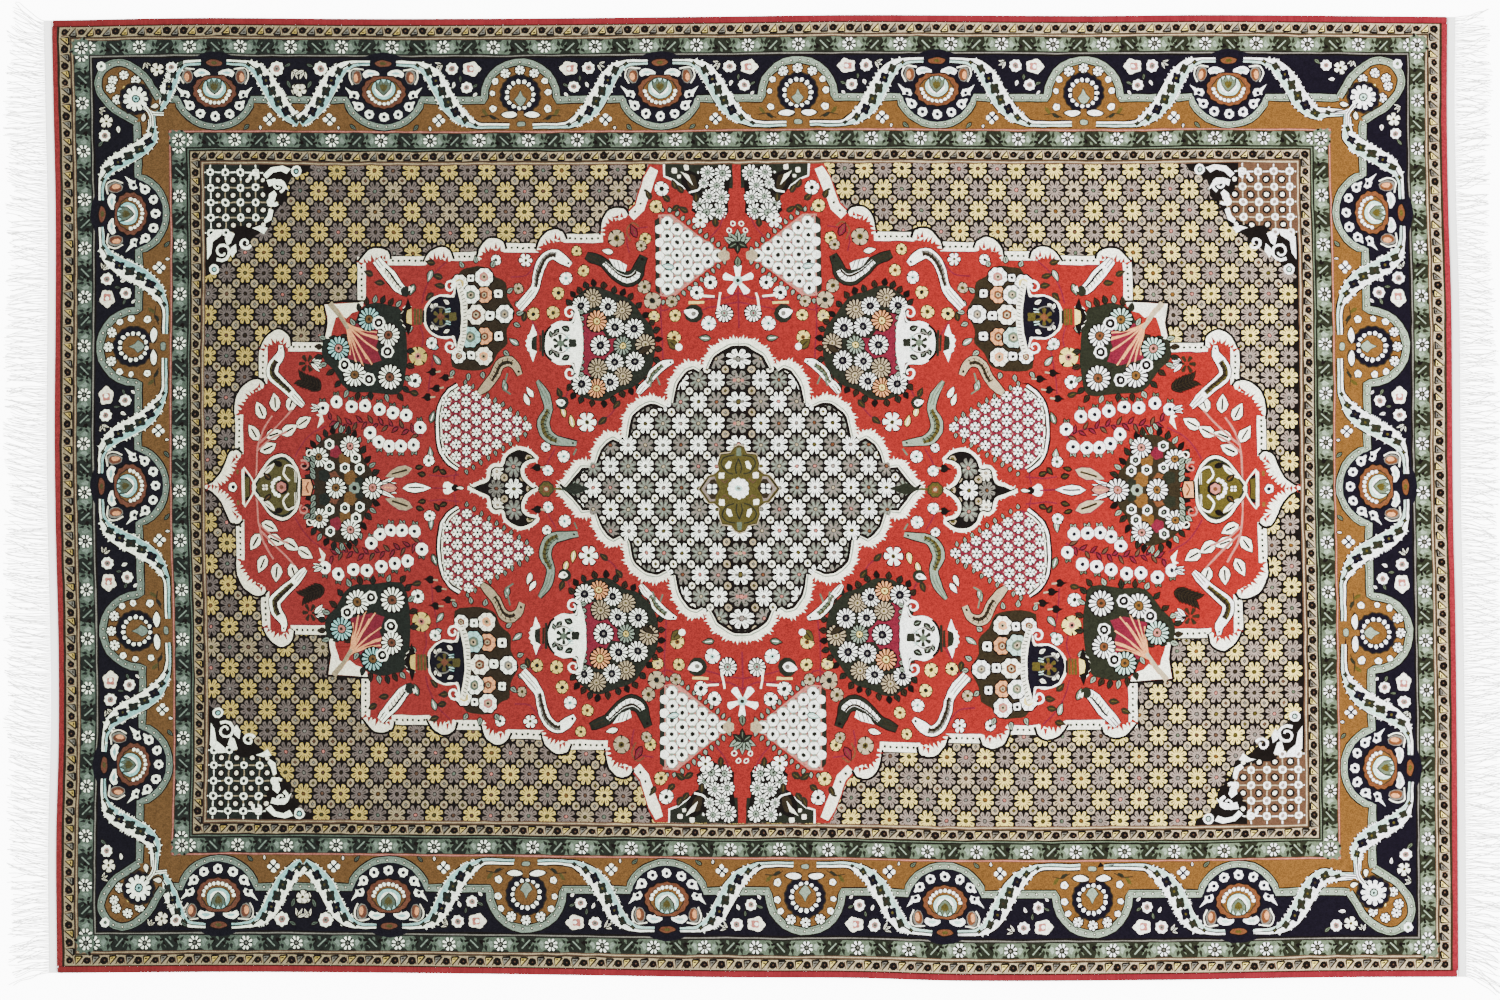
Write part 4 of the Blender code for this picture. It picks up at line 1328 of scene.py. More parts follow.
def draw_brown_bunch(pen):
    """White, peach and pale blue flowers on brown, in a dark scrolled vase."""
    hull = ((286, 216), (272, 222), (258, 222), (248, 212), (238, 206), (236, 192), (228, 176), (236, 160),
            (236, 146), (246, 136), (254, 122), (272, 118), (294, 122), (290, 144), (286, 180))
    pen.fill(curve(hull, 3, True), "brown", 0)
    for x, y, turn in ((228, 184, 2.6), (226, 176, 3.1), (229, 166, 3.6), (236, 196, 2.4), (252, 222, 2.0),
                       (268, 226, 1.5), (282, 222, 1.1), (246, 128, 4.0), (262, 117, 4.5), (276, 115, 4.8),
                       (292, 118, 5.3), (240, 138, 3.8)):
        leaf(pen.at(x, y, turn), 7, 4.4, "pale_green", "black")
    for x, y, r, petal, heart in RIGHT_BUNCH:
        spot = pen.at(x, y)
        spot.fill(lobed(8, r + 1.2, 0.06), "black")
        spot.fill(lobed(8, r, 0.12), petal)
        spot.fill(lobed(6, r * 0.52, 0.1), heart)
        spot.dot(0, 0, r * 0.3, "cream", 6)
        spot.dot(0, 0, r * 0.14, "black", 5)
        for k in range(8):
            a = k * TAU / 8
            spot.line(((r * 0.6 * math.cos(a), r * 0.6 * math.sin(a)),
                       (r * 0.84 * math.cos(a), r * 0.84 * math.sin(a))),
                      0.7, "grey")
    for x, y, r in SMALL_WHITE:
        pen.dot(x, y, r + 1.0, "black", 8)
        pen.at(x, y).fill(lobed(4, r, 0.22), "white")
        pen.dot(x, y, 1.7, "black", 6)
    pen.line(curve(((287, 208), (281.6, 190), (280.4, 172), (281.6, 152), (287, 136))), 5.0, "ivory")
    for x, y, turn in walked(curve(((287, 206), (281.6, 190), (280.4, 172), (281.6, 152), (287, 138))), 3.6,
                             1.5):
        pen.at(x, y, turn).line(((0, -2.0), (0.8, 2.0)), 1.0, "dark_green")
    spots = ((8, 13, 7, 4.2, 0.5, "ivory"), (20, 13, 8, 4, -0.6, "ivory"), (26, 8, 5, 3.4, 1.4, "ivory"))
    scroll_vase(pen.at(288.6, 172.4), "navy", "ivory", "grey", spots, 0.62, "dark", "butter")


def draw_top_spray(pen):
    """Head of the medallion: a mass of small white flowers and a dark leafy corner."""
    pen.fill(((4, 324), (72.6, 324), (72.6, 312), (64, 309), (55, 302), (48, 297), (41, 292), (36, 294),
              (30, 300),
              (4, 300)), "dark_green", 0)
    pen.line(((72.6, 325), (72.6, 312), (64, 309), (55, 302), (48, 297.4)), 1.8, "white")
    pen.fill(curve(((36, 296), (44, 292), (52, 299), (56, 308), (52, 318), (42, 316), (35, 306)), 2, True),
             "black")
    pen.line(curve(((48, 296), (38, 299), (35, 308), (39, 317))), 1.8, "white")
    pen.fill(curve(((40, 300), (46, 299), (50, 306), (48, 313), (42, 312)), 2, True), "brown")
    pen.fill(((44, 303), (52, 311), (56, 317), (48, 313)), "ivory")
    for x, y, r in ((62, 318, 3), (50, 321, 3), (58, 312, 2)):
        pen.at(x, y).fill(lobed(4, r, 0.2), "ivory")
    pen.fill(((6, 322), (34, 322), (40, 312), (33, 300), (42, 288), (46, 278), (34, 268), (18, 268),
              (8, 276),
              (9, 292), (7, 306)), "black", 0)
    for x, y, r in ((14, 315, 8.4), (29, 316, 7), (20, 303, 7.6), (33, 305, 5), (15, 291, 7.4), (28, 292, 7),
                    (38, 284, 6.8), (18, 277, 8), (31, 276, 9.4)):
        daisy(pen.at(x, y), r, 11, "white", "black", "pale_green", "dark_green")
    pen.fill(((0, 318), (3.6, 318), (4.4, 296), (7, 284), (5, 270), (0, 270)), "red")


def draw_small_things(pen):
    """Loose leaves, buds, fruits and single flowers of a quarter, and its branches."""
    for points in (((0, 186), (24, 182), (40, 178), (58, 176)), ((28, 250), (18, 262), (12, 276)),
                   ((78, 192), (78, 160), (76, 130)), ((90, 262), (104, 259), (112, 250), (110, 236)),
                   ((90, 188), (76, 178), (62, 186)), ((206, 226), (216, 214), (232, 212)),
                   ((196, 146), (206, 160), (214, 176), (220, 192)), ((168, 118), (172, 100), (180, 84)),
                   ((330, 170), (324, 150), (330, 132), (336, 118)), ((312, 138), (316, 118), (318, 96)),
                   ((296, 40), (290, 20), (292, 6)), ((286, 14), (302, 12), (318, 13)),
                   ((120, 86), (132, 72), (144, 66)),
                   ((300, 228), (314, 214), (322, 200), (326, 186)), ((186, 40), (194, 26), (196, 12)),
                   ((428, 62), (446, 52), (456, 40), (462, 30))):
        pen.line(curve(points, 3), 1.4, "crimson")
    for x, y, turn in ((61, 300, 1.2), (54.5, 296, 1.0), (68, 288, 0.7), (59, 282.6, -0.6), (50, 277, 0.5),
                       (41, 286.5, 1.6), (22, 262, 1.6), (87.6, 290, 1.1), (219.6, 168, 1.8), (329, 94, 0.2),
                       (120, 88, -0.9), (134, 71, -0.7), (180, 92, 1.2), (296, 192, -0.9), (304, 212, 0.2),
                       (302, 203, 0.1), (314, 196, -0.8), (312, 226, 0.2), (366, 206, 0.1), (378, 214, 0.4)):
        leaf(pen.at(x, y, turn), 9.5, 4.6, "brown", "olive", "dark_green")
    for x, y, turn, yarn in ((64.6, 221, 0.2, "aqua"), (28, 150, 0.1, "grey_green"), (209, 92, 1.0, "white"),
                             (213, 84, 1.2, "ivory"), (224, 144, 0.6, "pale_green"), (308, 141, 0.3, "aqua"),
                             (306, 124, 0.9, "pale_green"), (315, 219, -1.2, "pale_green"),
                             (334, 205, -1.2, "grey_green"),
                             (168, 62, 1.4, "butter"), (176, 72, 1.3, "butter"),
                             (316, 66, 1.9, "grey_green"),
                             (316, 30, 1.5, "pale_green"), (237, 98, 1.3, "pale_green"),
                             (126, 236, 0.2, "ivory")):
        leaf(pen.at(x, y, turn), 12, 5.4, yarn, "white", "black")
    for x, y, r, body, heart in ((75.8, 300, 6.8, "white", "dark_green"), (82, 282, 6.2, "butter", "olive"),
                                 (93, 250, 5.6, "butter", "olive"), (97, 243, 5, "cream", "olive"),
                                 (122.4, 250.6, 8.2, "cream", "olive"), (163.7, 238.4, 5, "butter", "olive"),
                                 (157, 218, 5.6, "butter", "gold"), (183, 196, 6, "butter", "dark_green"),
                                 (188.6, 176.5, 6.4, "butter", "olive"),
                                 (209, 175, 6, "butter", "dark_green"),
                                 (224.6, 200.6, 5, "cream", "olive"), (94.6, 202, 6.4, "cream", "olive"),
                                 (86.6, 188, 8.4, "cream", "dark_green"), (67, 187, 5.4, "cream", "olive"),
                                 (64, 173, 5.6, "butter", "olive"), (85, 172, 5.6, "butter", "cream"),
                                 (65, 151, 6.4, "butter", "gold"), (329.6, 132.5, 9.4, "butter", "pink"),
                                 (332.7, 107.6, 6.6, "white", "dark_green"),
                                 (177.5, 32.4, 6, "white", "aqua"),
                                 (194, 18.5, 5.2, "white", "aqua"), (196, 41.6, 4.4, "white", "grey"),
                                 (315, 146, 5.4, "white", "pale_green"),
                                 (28, 206, 6.6, "white", "dark_green"),
                                 (41.6, 196, 6.6, "white", "dark_green"), (30, 165, 7, "white", "aqua"),
                                 (247, 229, 5, "white", "dark_green"), (174.8, 210.6, 6, "white", "aqua"),
                                 (318, 28, 5.4, "white", "grey_green")):
        spot = pen.at(x, y, 0.3 * x)
        spot.fill(lobed(6, r + 1.2, 0.12), "black")
        petals(spot, 5, r * 0.2, r, r * 0.98, body, 0.0, 0.16)
        spot.dot(0, 0, r * 0.38, heart, 6)
        spot.dot(0, 0, r * 0.18, "black", 5)
    for x, y, r in ((37, 268, 7.6), (153.5, 66.6, 9.6), (216.4, 229, 6.4)):
        star_flower(pen.at(x, y), r, 6, "white", "olive", "black")
    for x, y in ((300.6, 111), (310, 100), (318.7, 91), (313.9, 116.7), (205, 21)):
        pen.dot(x, y, 4.2, "black", 7)
        pen.fill(((x + 3, y - 1.6), (x + 8, y - 0.6), (x + 3, y + 1.6)), "black")
        pen.line(((x - 8, y + 0.6), (x - 3, y)), 1.6, "cream")
    daisy(pen.at(14.6, 175), 8.6, 13, "white", "black", "pale_green", "crimson")
    for x, y, r in ((178.5, 86, 6.6), (45, 175, 9.5)):
        pen.at(x, y).fill(ring_of(10, r), "dark_green")
        pen.at(x, y).fill(curve(((-r * 0.5, 0), (0, r * 0.5), (r, r * 0.3), (r * 0.6, -r * 0.3),
                                 (0, -r * 0.5)), 2, True),
                          "white")
        pen.at(x, y).fill(ring_of(7, r * 0.26), "grey")
    pen.line(curve(((99, 262), (106, 266), (112, 258), (108, 248))), 1.8, "rust")
    leaf(pen.at(102, 252, 1.1), 14, 6, "crimson", "rust")
    petals(pen.at(448, 124.6), 6, 2, 9, 4.4, "brown")
    for a in (2.4, 2.8, 3.14, 3.5, 3.9):
        leaf(pen.at(443, 124.6, a), 11, 4, "white", "grey")
    stem = ((432, 100), (452, 108))
    for x, y, turn in walked(stem, 3.4, 1):
        for hand in (-1, 1):
            leaf(pen.at(x, y, turn + hand * 0.75), 11, 2.6, "brown", "black")
    for x, y, turn in ((466, 82.4, 1.9), (483, 82, 1.5), (497, 74, 1.1), (455, 64, 2.6), (470, 56, 2.6),
                       (487, 52, 2.8), (493, 38, 2.7), (504, 52, 1.0)):
        leaf(pen.at(x - 6 * math.cos(turn), y - 6 * math.sin(turn), turn), 19, 11.5, "ivory", "black",
             "black")
    for points in (((503, 10), (502, 36), (496, 56), (486, 72)), ((502, 36), (488, 48), (470, 56)),
                   ((500, 44), (482, 60), (464, 78))):
        pen.line(curve(points, 4), 2.0, "pink")
    leaf(pen.at(336, 20, -0.3), 30, 12, "cream", "brown", "crimson")
    for x, y, turn in ((332, 20, 2.9), (322, 13, 0.2), (300, 15, 0.4), (308, 22, -0.9)):
        leaf(pen.at(x, y, turn), 8, 4, "brown", "olive")


def draw_birds(pen):
    for body, wing, tail, head, legs in (
            (((95, 233, 7), (99, 224, 10), (103, 214, 13), (112, 209.6, 15), (124, 215, 12), (136, 226, 9),
              (147, 231, 9), (154, 234, 6)), "white", "brown", "dark_green", ()),
            (((170, 224, 5), (178, 230, 10), (188, 235, 10), (198, 229, 10), (204, 216, 9), (207, 202, 8),
              (214, 192, 10), (224, 181, 9)), "brown", "grey", "white", ()),
            (((164, 45, 5), (176, 47, 7), (188, 49, 10), (196, 56, 12), (198, 67, 12), (193, 80, 8),
              (196, 94, 8),
              (205, 108, 3)), "olive", "grey_green", "pale_green", ((164, 40, 168, 34),)),
            (((223, 114, 6), (228, 124, 8), (236, 128, 10), (244, 124, 10), (250, 112, 9), (258, 102, 9),
              (265, 96, 5)), "brown", "cream", "cream", ((236, 116, 240, 100), (240, 100, 232, 95))),
            (((66, 128, 3), (74, 125, 8), (80, 121, 9), (86, 115, 9), (90, 108, 6), (97, 101, 7),
              (101, 95, 4)),
             "grey_green", "olive", "white", ((82, 112, 79, 104), (87, 110, 89, 102))),
            (((477, 143, 4), (477, 134, 8), (484, 124, 11), (486, 114, 12), (478, 106, 11), (466, 96, 9),
              (458, 88, 8),
              (452, 82, 5)), "brown", "olive", "white", ()),
            (((340, 196, 6), (346, 199, 9), (352, 204, 11), (360, 214, 12), (368, 222, 10), (374, 229, 8)),
             "ivory", "navy", "white", ())):
        bird(pen, body, wing, tail, head, legs)
    pen.dot(343, 198, 5.4, "dark_green", 8)
    pen.fill(((334, 200), (340, 198), (339, 203)), "ivory")
    pen.fill(((112, 224), (120, 228), (131, 230), (124, 221), (114, 217)), "white")
    for x in (115, 119, 123):
        pen.line(((x, 219), (x + 3, 228)), 0.9, "dark_green")
    leaf(pen.at(62, 140, 0.8), 13, 8, "olive", "brown", "brown")
    leaf(pen.at(100, 136, 2.6), 14, 5, "brown")
    pen.dot(60, 141.6, 3.6, "white", 7)


def draw_end_vase(half):
    """Olive vase at the tip of the medallion, with its round bunch: on the long axis."""
    hull = [(378, 14), (386, 26), (394, 44), (404, 54), (420, 54), (434, 46), (444, 34), (446, 18), (440, 0)]
    hull = hull + [(x, -y) for x, y in hull[-2::-1]]
    half.fill(curve(hull, 3, True), "brown", 0)
    rim_leaves(half, (412, 0), curve(hull, 2, True), 8, 4.6, ("dark_green", "pale_green", "black"))
    for x, y, r, yarn in ((407, 30, 8, "gold"), (402, 10, 8, "gold"), (420, 10, 7, "rust"),
                          (392, 6, 6, "dark_green"),
                          (418, 36, 7, "crimson"), (430, 12, 7, "dark_green")):
        for sy in (1, -1):
            half.at(x, sy * y).fill(lobed(5, r, 0.2), yarn)
    for sy in (1, -1):
        daisy(half.at(402, sy * 42), 10.4, 14, "white", "black", "pink", "brown")
        daisy(half.at(435.6, sy * 30.5), 10, 13, "white", "dark_green", "gold", "brown")
        for x, y in ((391.9, 19), (407.6, 20), (424.3, 22), (424, 43.5), (396, 30)):
            half.at(x, sy * y).fill(lobed(6, 5.6, 0.14), "white")
            half.dot(x, sy * y, 3.2, "black", 7)
            half.dot(x, sy * y, 1.2, "pale_green", 5)
        for k in range(4):
            leaf(half.at(440, sy * (8 + 6 * k), sy * 0.9), 8, 4.4, "pale_green", "black")
        curl(half.at(452, sy * 22), 5.6, 1.1, 2.2, "pink", 1.0, sy)
        curl(half.at(446, sy * 34), 4.6, 1.0, 1.8, "ivory", 3.0, -sy)
    for k in range(5):
        leaf(half.at(376, 0, 3.14 + (k - 2) * 0.22), 24, 4.6, "white", "black")
    daisy(half.at(378, 0), 11.6, 14, "white", "black", "pink", "rust")
    daisy(half.at(417.8, 0), 10.8, 14, "white", "dark_green", "gold", "brown")
    half.at(397.6, 0).fill(lobed(7, 6.4, 0.14), "pale_green")
    half.dot(397.6, 0, 2.6, "black", 7)
    body = [(458, 0), (459, 14), (465, 25), (476, 31), (488, 26), (496, 16), (504, 5), (505, 0)]
    body = body + [(x, -y) for x, y in body[-2:0:-1]]
    shape = curve(body, 3, True)
    middle = np.array((480, 0))
    half.fill(middle + (shape - middle) * 1.13, "black", 0)
    half.fill(middle + (shape - middle) * 1.09, "ivory", 0)
    half.fill(middle + (shape - middle) * 0.99, "dark_green", 0)
    half.fill(middle + (shape - middle) * 0.9, "olive", 0)
    half.fill(((444, 10), (456, 9), (456, -9), (444, -10), (441, 0)), "black")
    half.fill(((445, 8), (454, 8), (454, -8), (445, -8), (443, 0)), "peach")
    half.line(((447, 6), (450, 0), (447, -6)), 1.6, "rust")
    half.line(((456, 8), (460, 20)), 2.0, "ivory")
    for sy in (1, -1):
        side = Pen(half.cartoon, half.turn @ np.diag((1, sy)), half.place)
        side.line(curve(((461, 5), (462, 18), (470, 22), (474, 14), (468, 6))), 2.0, "ivory")
        side.line(curve(((461, 4), (462, 17), (470, 20), (473, 14))), 0.9, "black")
        side.fill(curve(((484, 24), (494, 18), (500, 10), (494, 12), (486, 18)), 2, True), "ivory")
        side.line(((488, 20), (496, 13)), 1.0, "navy")
        leaf(side.at(476, 22, 0.4), 9, 4, "black")
        leaf(side.at(488, 8, 0.7), 9, 4, "brown", "gold")
        side.fill(((510, 12), (517, 15), (517, 0), (510, 0)), "black")
        side.fill(((511, 9), (516, 11), (516, 0), (511, 0)), "olive")
        side.line(((504, 0), (508, 8), (512, 14), (517, 20)), 1.6, "ivory")
        side.fill(((516.4, 0), (519.6, 0), (519.6, 17), (516.4, 20)), "ivory")
        side.line(((524, 13), (524, 18)), 3.0, "gold")
    for k in range(7):
        a = -1.35 + k * 0.45
        half.dot(477 + 9 * math.cos(a), 9 * math.sin(a), 2.3, "white", 6)
    half.dot(475, 0, 7.4, "black", 10)
    half.fill(lobed(6, 5.6, 0.14) + (476, 0), "pink")
    half.dot(476, 0, 2.4, "rust", 6)
    four_petal(half.at(494, 0), 3.6, "ivory", "black")
    half.at(529.7, 0).fill(lobed(5, 5.6, 0.1), "black")
    half.at(529.7, 0).fill(lobed(5, 4.8, 0.12), "white")
    half.dot(529, 0, 2.2, "navy", 6)
    leaf(half.at(346, 0, 3.14), 30, 10, "white", "navy", "black")
    leaf(half.at(352, 0, 0.0), 18, 9, "pink", "peach")
    half.at(298, 0).fill(lobed(3, 7, 0.22), "white")
    half.dot(291, 0, 4, "black", 7)
    half.line(((300, 0), (316, 0)), 1.6, "crimson")
    leaf(half.at(282, 0, 0), 8, 3, "ivory")


def draw_axis_top(half):
    """Plants on the short axis, above and below the middle."""
    for a in (0.5, 0.95, 1.57, 2.2, 2.64):
        leaf(half.at(0, 244, a), 15, 6.4, "pale_green", "dark_green", "black")
    for a in (-0.5, -1.57, -2.64):
        leaf(half.at(0, 246, a), 11, 5, "dark_green", "grey_green", "black")
    for x, y in ((-4, 265), (4, 265), (-8, 258), (8, 258)):
        half.at(x, y).fill(ring_of(8, 2.8), "ivory")
        half.dot(x, y, 1.7, "crimson", 6)
    petals(half.at(0, 208), 5, 2, 16, 7.4, "white", turn=TAU / 4)
    leaf(half.at(0, 222, 1.57), 10, 6, "grey_green", "black")
    half.at(0, 208).fill(ring_of(6, 5), "aqua")
    half.dot(0, 208, 2.2, "dark_green", 6)
    half.at(14, 233).fill(lobed(6, 6.4, 0.16), "cream")
    half.at(-14, 233).fill(lobed(6, 6.4, 0.16), "cream")
    half.line(((0, 200), (0, 160)), 1.6, "crimson")
    for sx in (1, -1):
        half.line(curve(((0, 196), (sx * 14, 190), (sx * 30, 190), (sx * 40, 184))), 1.5, "crimson")
        half.line(((sx * 18, 196), (sx * 21, 178)), 2.2, "ivory")
        half.line(((sx * 24, 192), (sx * 38, 193)), 2.2, "ivory")
        half.line(((sx * 34, 186), (sx * 50, 186)), 2.6, "butter")


def draw_medallion(pen):
    pen.cartoon.chart = MEDALLION
    draw_heart_lattice(pen)
    draw_medallion_ground(pen)
    for quarter in quarters(pen):
        draw_top_spray(quarter)
        draw_net(quarter)
        draw_small_things(quarter)
        draw_panel(quarter)
        draw_garland(quarter)
        draw_spray(quarter)
        draw_bunch_vase(quarter)
        draw_brown_bunch(quarter)
        draw_birds(quarter)
    for sy in (1, -1):
        draw_axis_top(Pen(pen.cartoon, ((1, 0), (0, sy)), (0, 0)))
    for sx in (1, -1):
        draw_end_vase(Pen(pen.cartoon, ((sx, 0), (0, 1)), (0, 0)))
    draw_heart_edge(pen)
    draw_centre(pen)
    for sx in (1, -1):
        draw_pendant(Pen(pen.cartoon, ((sx, 0), (0, 1)), (0, 0)))


def draw_rug():
    """The whole cartoon, in the order in which the shapes lie over each other."""
    cartoon = Cartoon()
    pen = Pen(cartoon)
    for inset in (0.0, 0.4, 1.1):
        x, y = BODY_X - inset, BODY_Y - inset
        pen.slab(((-x, -y), (x, -y), (x, y), (-x, y)), "edge_red", 7.0)
    draw_field(pen)
    draw_medallion(pen)
    cartoon.chart = FRAME
    draw_frames(pen)
    draw_dotted_guard(pen, 0.0, BANDS[0])
    draw_green_guard(pen, BANDS[1], BANDS[2], 50.0)
    draw_green_guard(pen, BANDS[5], BANDS[6], 49.0)
    draw_dotted_guard(pen, BANDS[7], BANDS[8])
    draw_main_border(pen)
    cartoon.settle()
    return cartoon


# ---------------------------------------------------------------- where the knots lie on the floor

KNOT = 0.0011
PILE_TOP = 0.0042
LAP = 0.0006  # how far a cord or web laps the body, so that no floor shows between them
BACK_TOP = 0.0031


def reach(node, along, stations):
    """Lowest and highest place of a CAD node across an axis, at each station along it."""
    mesh = frame["nodes"][node].data
    spots = np.array([v.co[:] for v in mesh.vertices])
    ends = np.array([e.vertices[:] for e in mesh.edges])
    a, b = spots[ends[:, 0]], spots[ends[:, 1]]
    rows = []
    for s in stations:
        da, db = a[:, along] - s, b[:, along] - s
        hit = (da * db <= 0) & (np.abs(da - db) > 1e-9)
        t = da[hit] / (da[hit] - db[hit])
        across = a[hit, 1 - along] * (1 - t) + b[hit, 1 - along] * t
        rows.append((across.min(), across.max()))
    return np.array(rows)


@lru_cache(maxsize=1)
def rims():
    """The knotted body's four edges: x stations, near and far y; y stations, left and right x."""
    low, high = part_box("rug_body")
    inset = 0.022
    xs = np.linspace(low.x + inset, high.x - inset, 60)
    ys = np.linspace(low.y + inset, high.y - inset, 44)
    across, along = reach("rug_body", 0, xs), reach("rug_body", 1, ys)
    return xs, across[:, 0], across[:, 1], ys, along[:, 0], along[:, 1]


def lay(points):
    """Places in metres of points of the drawing."""
    xs, near, far, ys, left, right = rims()
    p = np.asarray(points, float)
    s, t = (p[:, 0] / BODY_X + 1) / 2, (p[:, 1] / BODY_Y + 1) / 2
    y = near.mean() + (far.mean() - near.mean()) * t
    for _ in range(2):
        a, b = np.interp(y, ys, left), np.interp(y, ys, right)
        x = a + (b - a) * s
        a, b = np.interp(x, xs, near), np.interp(x, xs, far)
        y = a + (b - a) * t
    return np.column_stack((x, y))


def to_rim(points):
    """How far, in knots, each point of the drawing is from the edge of the body."""
    p = np.abs(points)
    return np.minimum(BODY_X - p[:, 0], BODY_Y - p[:, 1])


def drift(points, amount):
    """Knots sit a little off the drawn line, but not at the body's edge."""
    hold = np.clip(to_rim(points) / 6, 0, 1) * amount
    x, y = points[:, 0], points[:, 1]
    dx = soft_noise(x, y, 6.0, 3) * 1.3 + soft_noise(x, y, 40.0, 5) + soft_noise(x, y, 2.7, 7) * 0.9
    dy = soft_noise(x, y, 6.0, 4) * 1.3 + soft_noise(x, y, 40.0, 6) + soft_noise(x, y, 2.7, 8) * 0.9
    return points + np.column_stack((dx, dy)) * hold[:, None]


LONGEST = 13.0  # longest side that may lose a point in its middle
STRAIGHT_ENOUGH = 0.05


def is_convex(shape):
    way = np.roll(shape, -1, axis=0) - shape
    after = np.roll(way, -1, axis=0)
    return (way[:, 0] * after[:, 1] - way[:, 1] * after[:, 0]).min() > -1e-9


def clipped(shape, low, high):
    """The part of a shape inside a box."""
    p = [tuple(q) for q in shape]
    for axis in (0, 1):
        for sign, limit in ((1, high[axis]), (-1, -low[axis])):
            depth = [limit - sign * q[axis] for q in p]
            cut = []
            for i in range(len(p)):
                a, b, da, db = p[i - 1], p[i], depth[i - 1], depth[i]
                if (da >= 0) != (db >= 0):
                    t = da / (da - db)
                    cut.append((a[0] + (b[0] - a[0]) * t, a[1] + (b[1] - a[1]) * t))
                if db >= 0:
                    cut.append(b)
            p = cut
    return np.array(p) if len(p) > 2 else None


def inside_box(cartoon, low, high, keep):
    """Shapes and shape numbers of all that lies in a box, cut at its sides."""
    meets = (cartoon.low < high).all(axis=1) & (cartoon.high > low).all(axis=1) & keep
    whole = (cartoon.low >= low).all(axis=1) & (cartoon.high <= high).all(axis=1)
    shapes, numbers = [], []
    for i in np.flatnonzero(meets):
        shape = cartoon.shapes[i]
        if whole[i]:
            shapes.append(shape)
            numbers.append(i)
            continue
        parts = [shape]
        if np.ptp(shape, axis=0).max() > 14 and not is_convex(shape):
            made = delaunay_2d_cdt([Vector(p) for p in shape], [], [range(len(shape))], 1, 1e-5, True)
            parts = [np.array([made[0][v][:] for v in face]) for face,
                     under in zip(made[2], made[5]) if under]
        for part in parts:
            part = clipped(part, low, high)
            if part is not None:
                shapes.append(part)
                numbers.append(i)
    return shapes, numbers


def weave(cartoon, low, high, keep):
    """Cuts a box of the drawing into triangles, each of one shape: points, triangles, numbers."""
    shapes, numbers = inside_box(cartoon, np.array(low), np.array(high), keep)
    spots, faces = [], []
    for shape in shapes:
        faces.append(range(len(spots), len(spots) + len(shape)))
        spots.extend(Vector(p) for p in shape)
    made = delaunay_2d_cdt(spots, [], faces, 1, 1e-5, True)
    points = np.array([v[:] for v in made[0]])
    triangles = np.array(made[2])
    middle = points[triangles].mean(axis=1).tolist()
    least = [tuple(p.min(axis=0) - 1e-3) for p in shapes]
    most = [tuple(p.max(axis=0) + 1e-3) for p in shapes]
    top = np.zeros(len(triangles), int)
    for k, under in enumerate(made[5]):
        x, y = middle[k]
        for i in sorted(under, reverse=True):
            if least[i][0] <= x <= most[i][0] and least[i][1] <= y <= most[i][1]:
                top[k] = numbers[i]
                break
    yarns = np.column_stack((cartoon.yarns, cartoon.tints))
    _, first, which = np.unique(yarns[top], axis=0, return_index=True, return_inverse=True)
    return merged(points, triangles, top[first][which.ravel()])


def outlines(points, triangles, looks):
    """Edges between unlike triangles, straight points taken out: {(a, b): what lies to its left}."""
    left = {}
    for (a, b, c), look in zip(triangles.tolist(), looks.tolist()):
        left[a, b] = left[b, c] = left[c, a] = look
    kept = {edge: look for edge, look in left.items() if left.get(edge[::-1], -1) != look}
    near = {}
    for a, b in kept:
        near.setdefault(a, set()).add(b)
        near.setdefault(b, set()).add(a)
    places = points.tolist()
    for v in list(near):
        if len(near[v]) != 2:
            continue
        a, b = near[v]
        (ax, ay), (bx, by), (vx, vy) = places[a], places[b], places[v]
        dx, dy = bx - ax, by - ay
        long = math.hypot(dx, dy)
        if b in near[a] or long > LONGEST or abs(dx * (vy - ay) - dy * (vx - ax)) > STRAIGHT_ENOUGH * long:
            continue
        for p, q in ((a, b), (b, a)):
            look = kept.pop((p, v), None)
            kept.pop((v, q), None)
            if look is not None:
                kept[p, q] = look
        near[a].discard(v)
        near[b].discard(v)
        near[a].add(b)
        near[b].add(a)
        del near[v]
    return kept


def merged(points, triangles, looks):
    """The same picture in as few triangles as its visible outlines need."""
    kept = outlines(points, triangles, looks)
    walls = [edge for edge in kept if edge[0] < edge[1] or edge[::-1] not in kept]
    used = sorted({v for edge in walls for v in edge})
    number = {v: k for k, v in enumerate(used)}
    made = delaunay_2d_cdt([Vector(points[v]) for v in used], [(number[a], number[b]) for a, b in walls],
                           [], 0,
                           1e-5, True)
    places = np.array([v[:] for v in made[0]])
    side = {}
    for (c, d), under in zip(made[1], made[4]):
        if not under:
            continue
        a, b = walls[under[0]]
        if np.dot(points[b] - points[a], places[d] - places[c]) < 0:
            a, b = b, a
        side[c, d] = kept.get((a, b), -1)
        side[d, c] = kept.get((b, a), -1)
    across, found, waiting = {}, [-1] * len(made[2]), []
    for k, (a, b, c) in enumerate(made[2]):
        for edge in ((a, b), (b, c), (c, a)):
            across[edge] = k
            if edge in side and found[k] < 0:
                found[k] = side[edge]
                waiting.append(k)
    while waiting:
        k = waiting.pop()
        a, b, c = made[2][k]
        for edge in ((a, b), (b, c), (c, a)):
            other = across.get(edge[::-1], -1)
            if edge not in side and other >= 0 and found[other] < 0:
                found[other] = found[k]
                waiting.append(other)
    return places, np.array(made[2]), np.array(found)


@lru_cache(maxsize=1)
def drawn():
    return draw_rug()


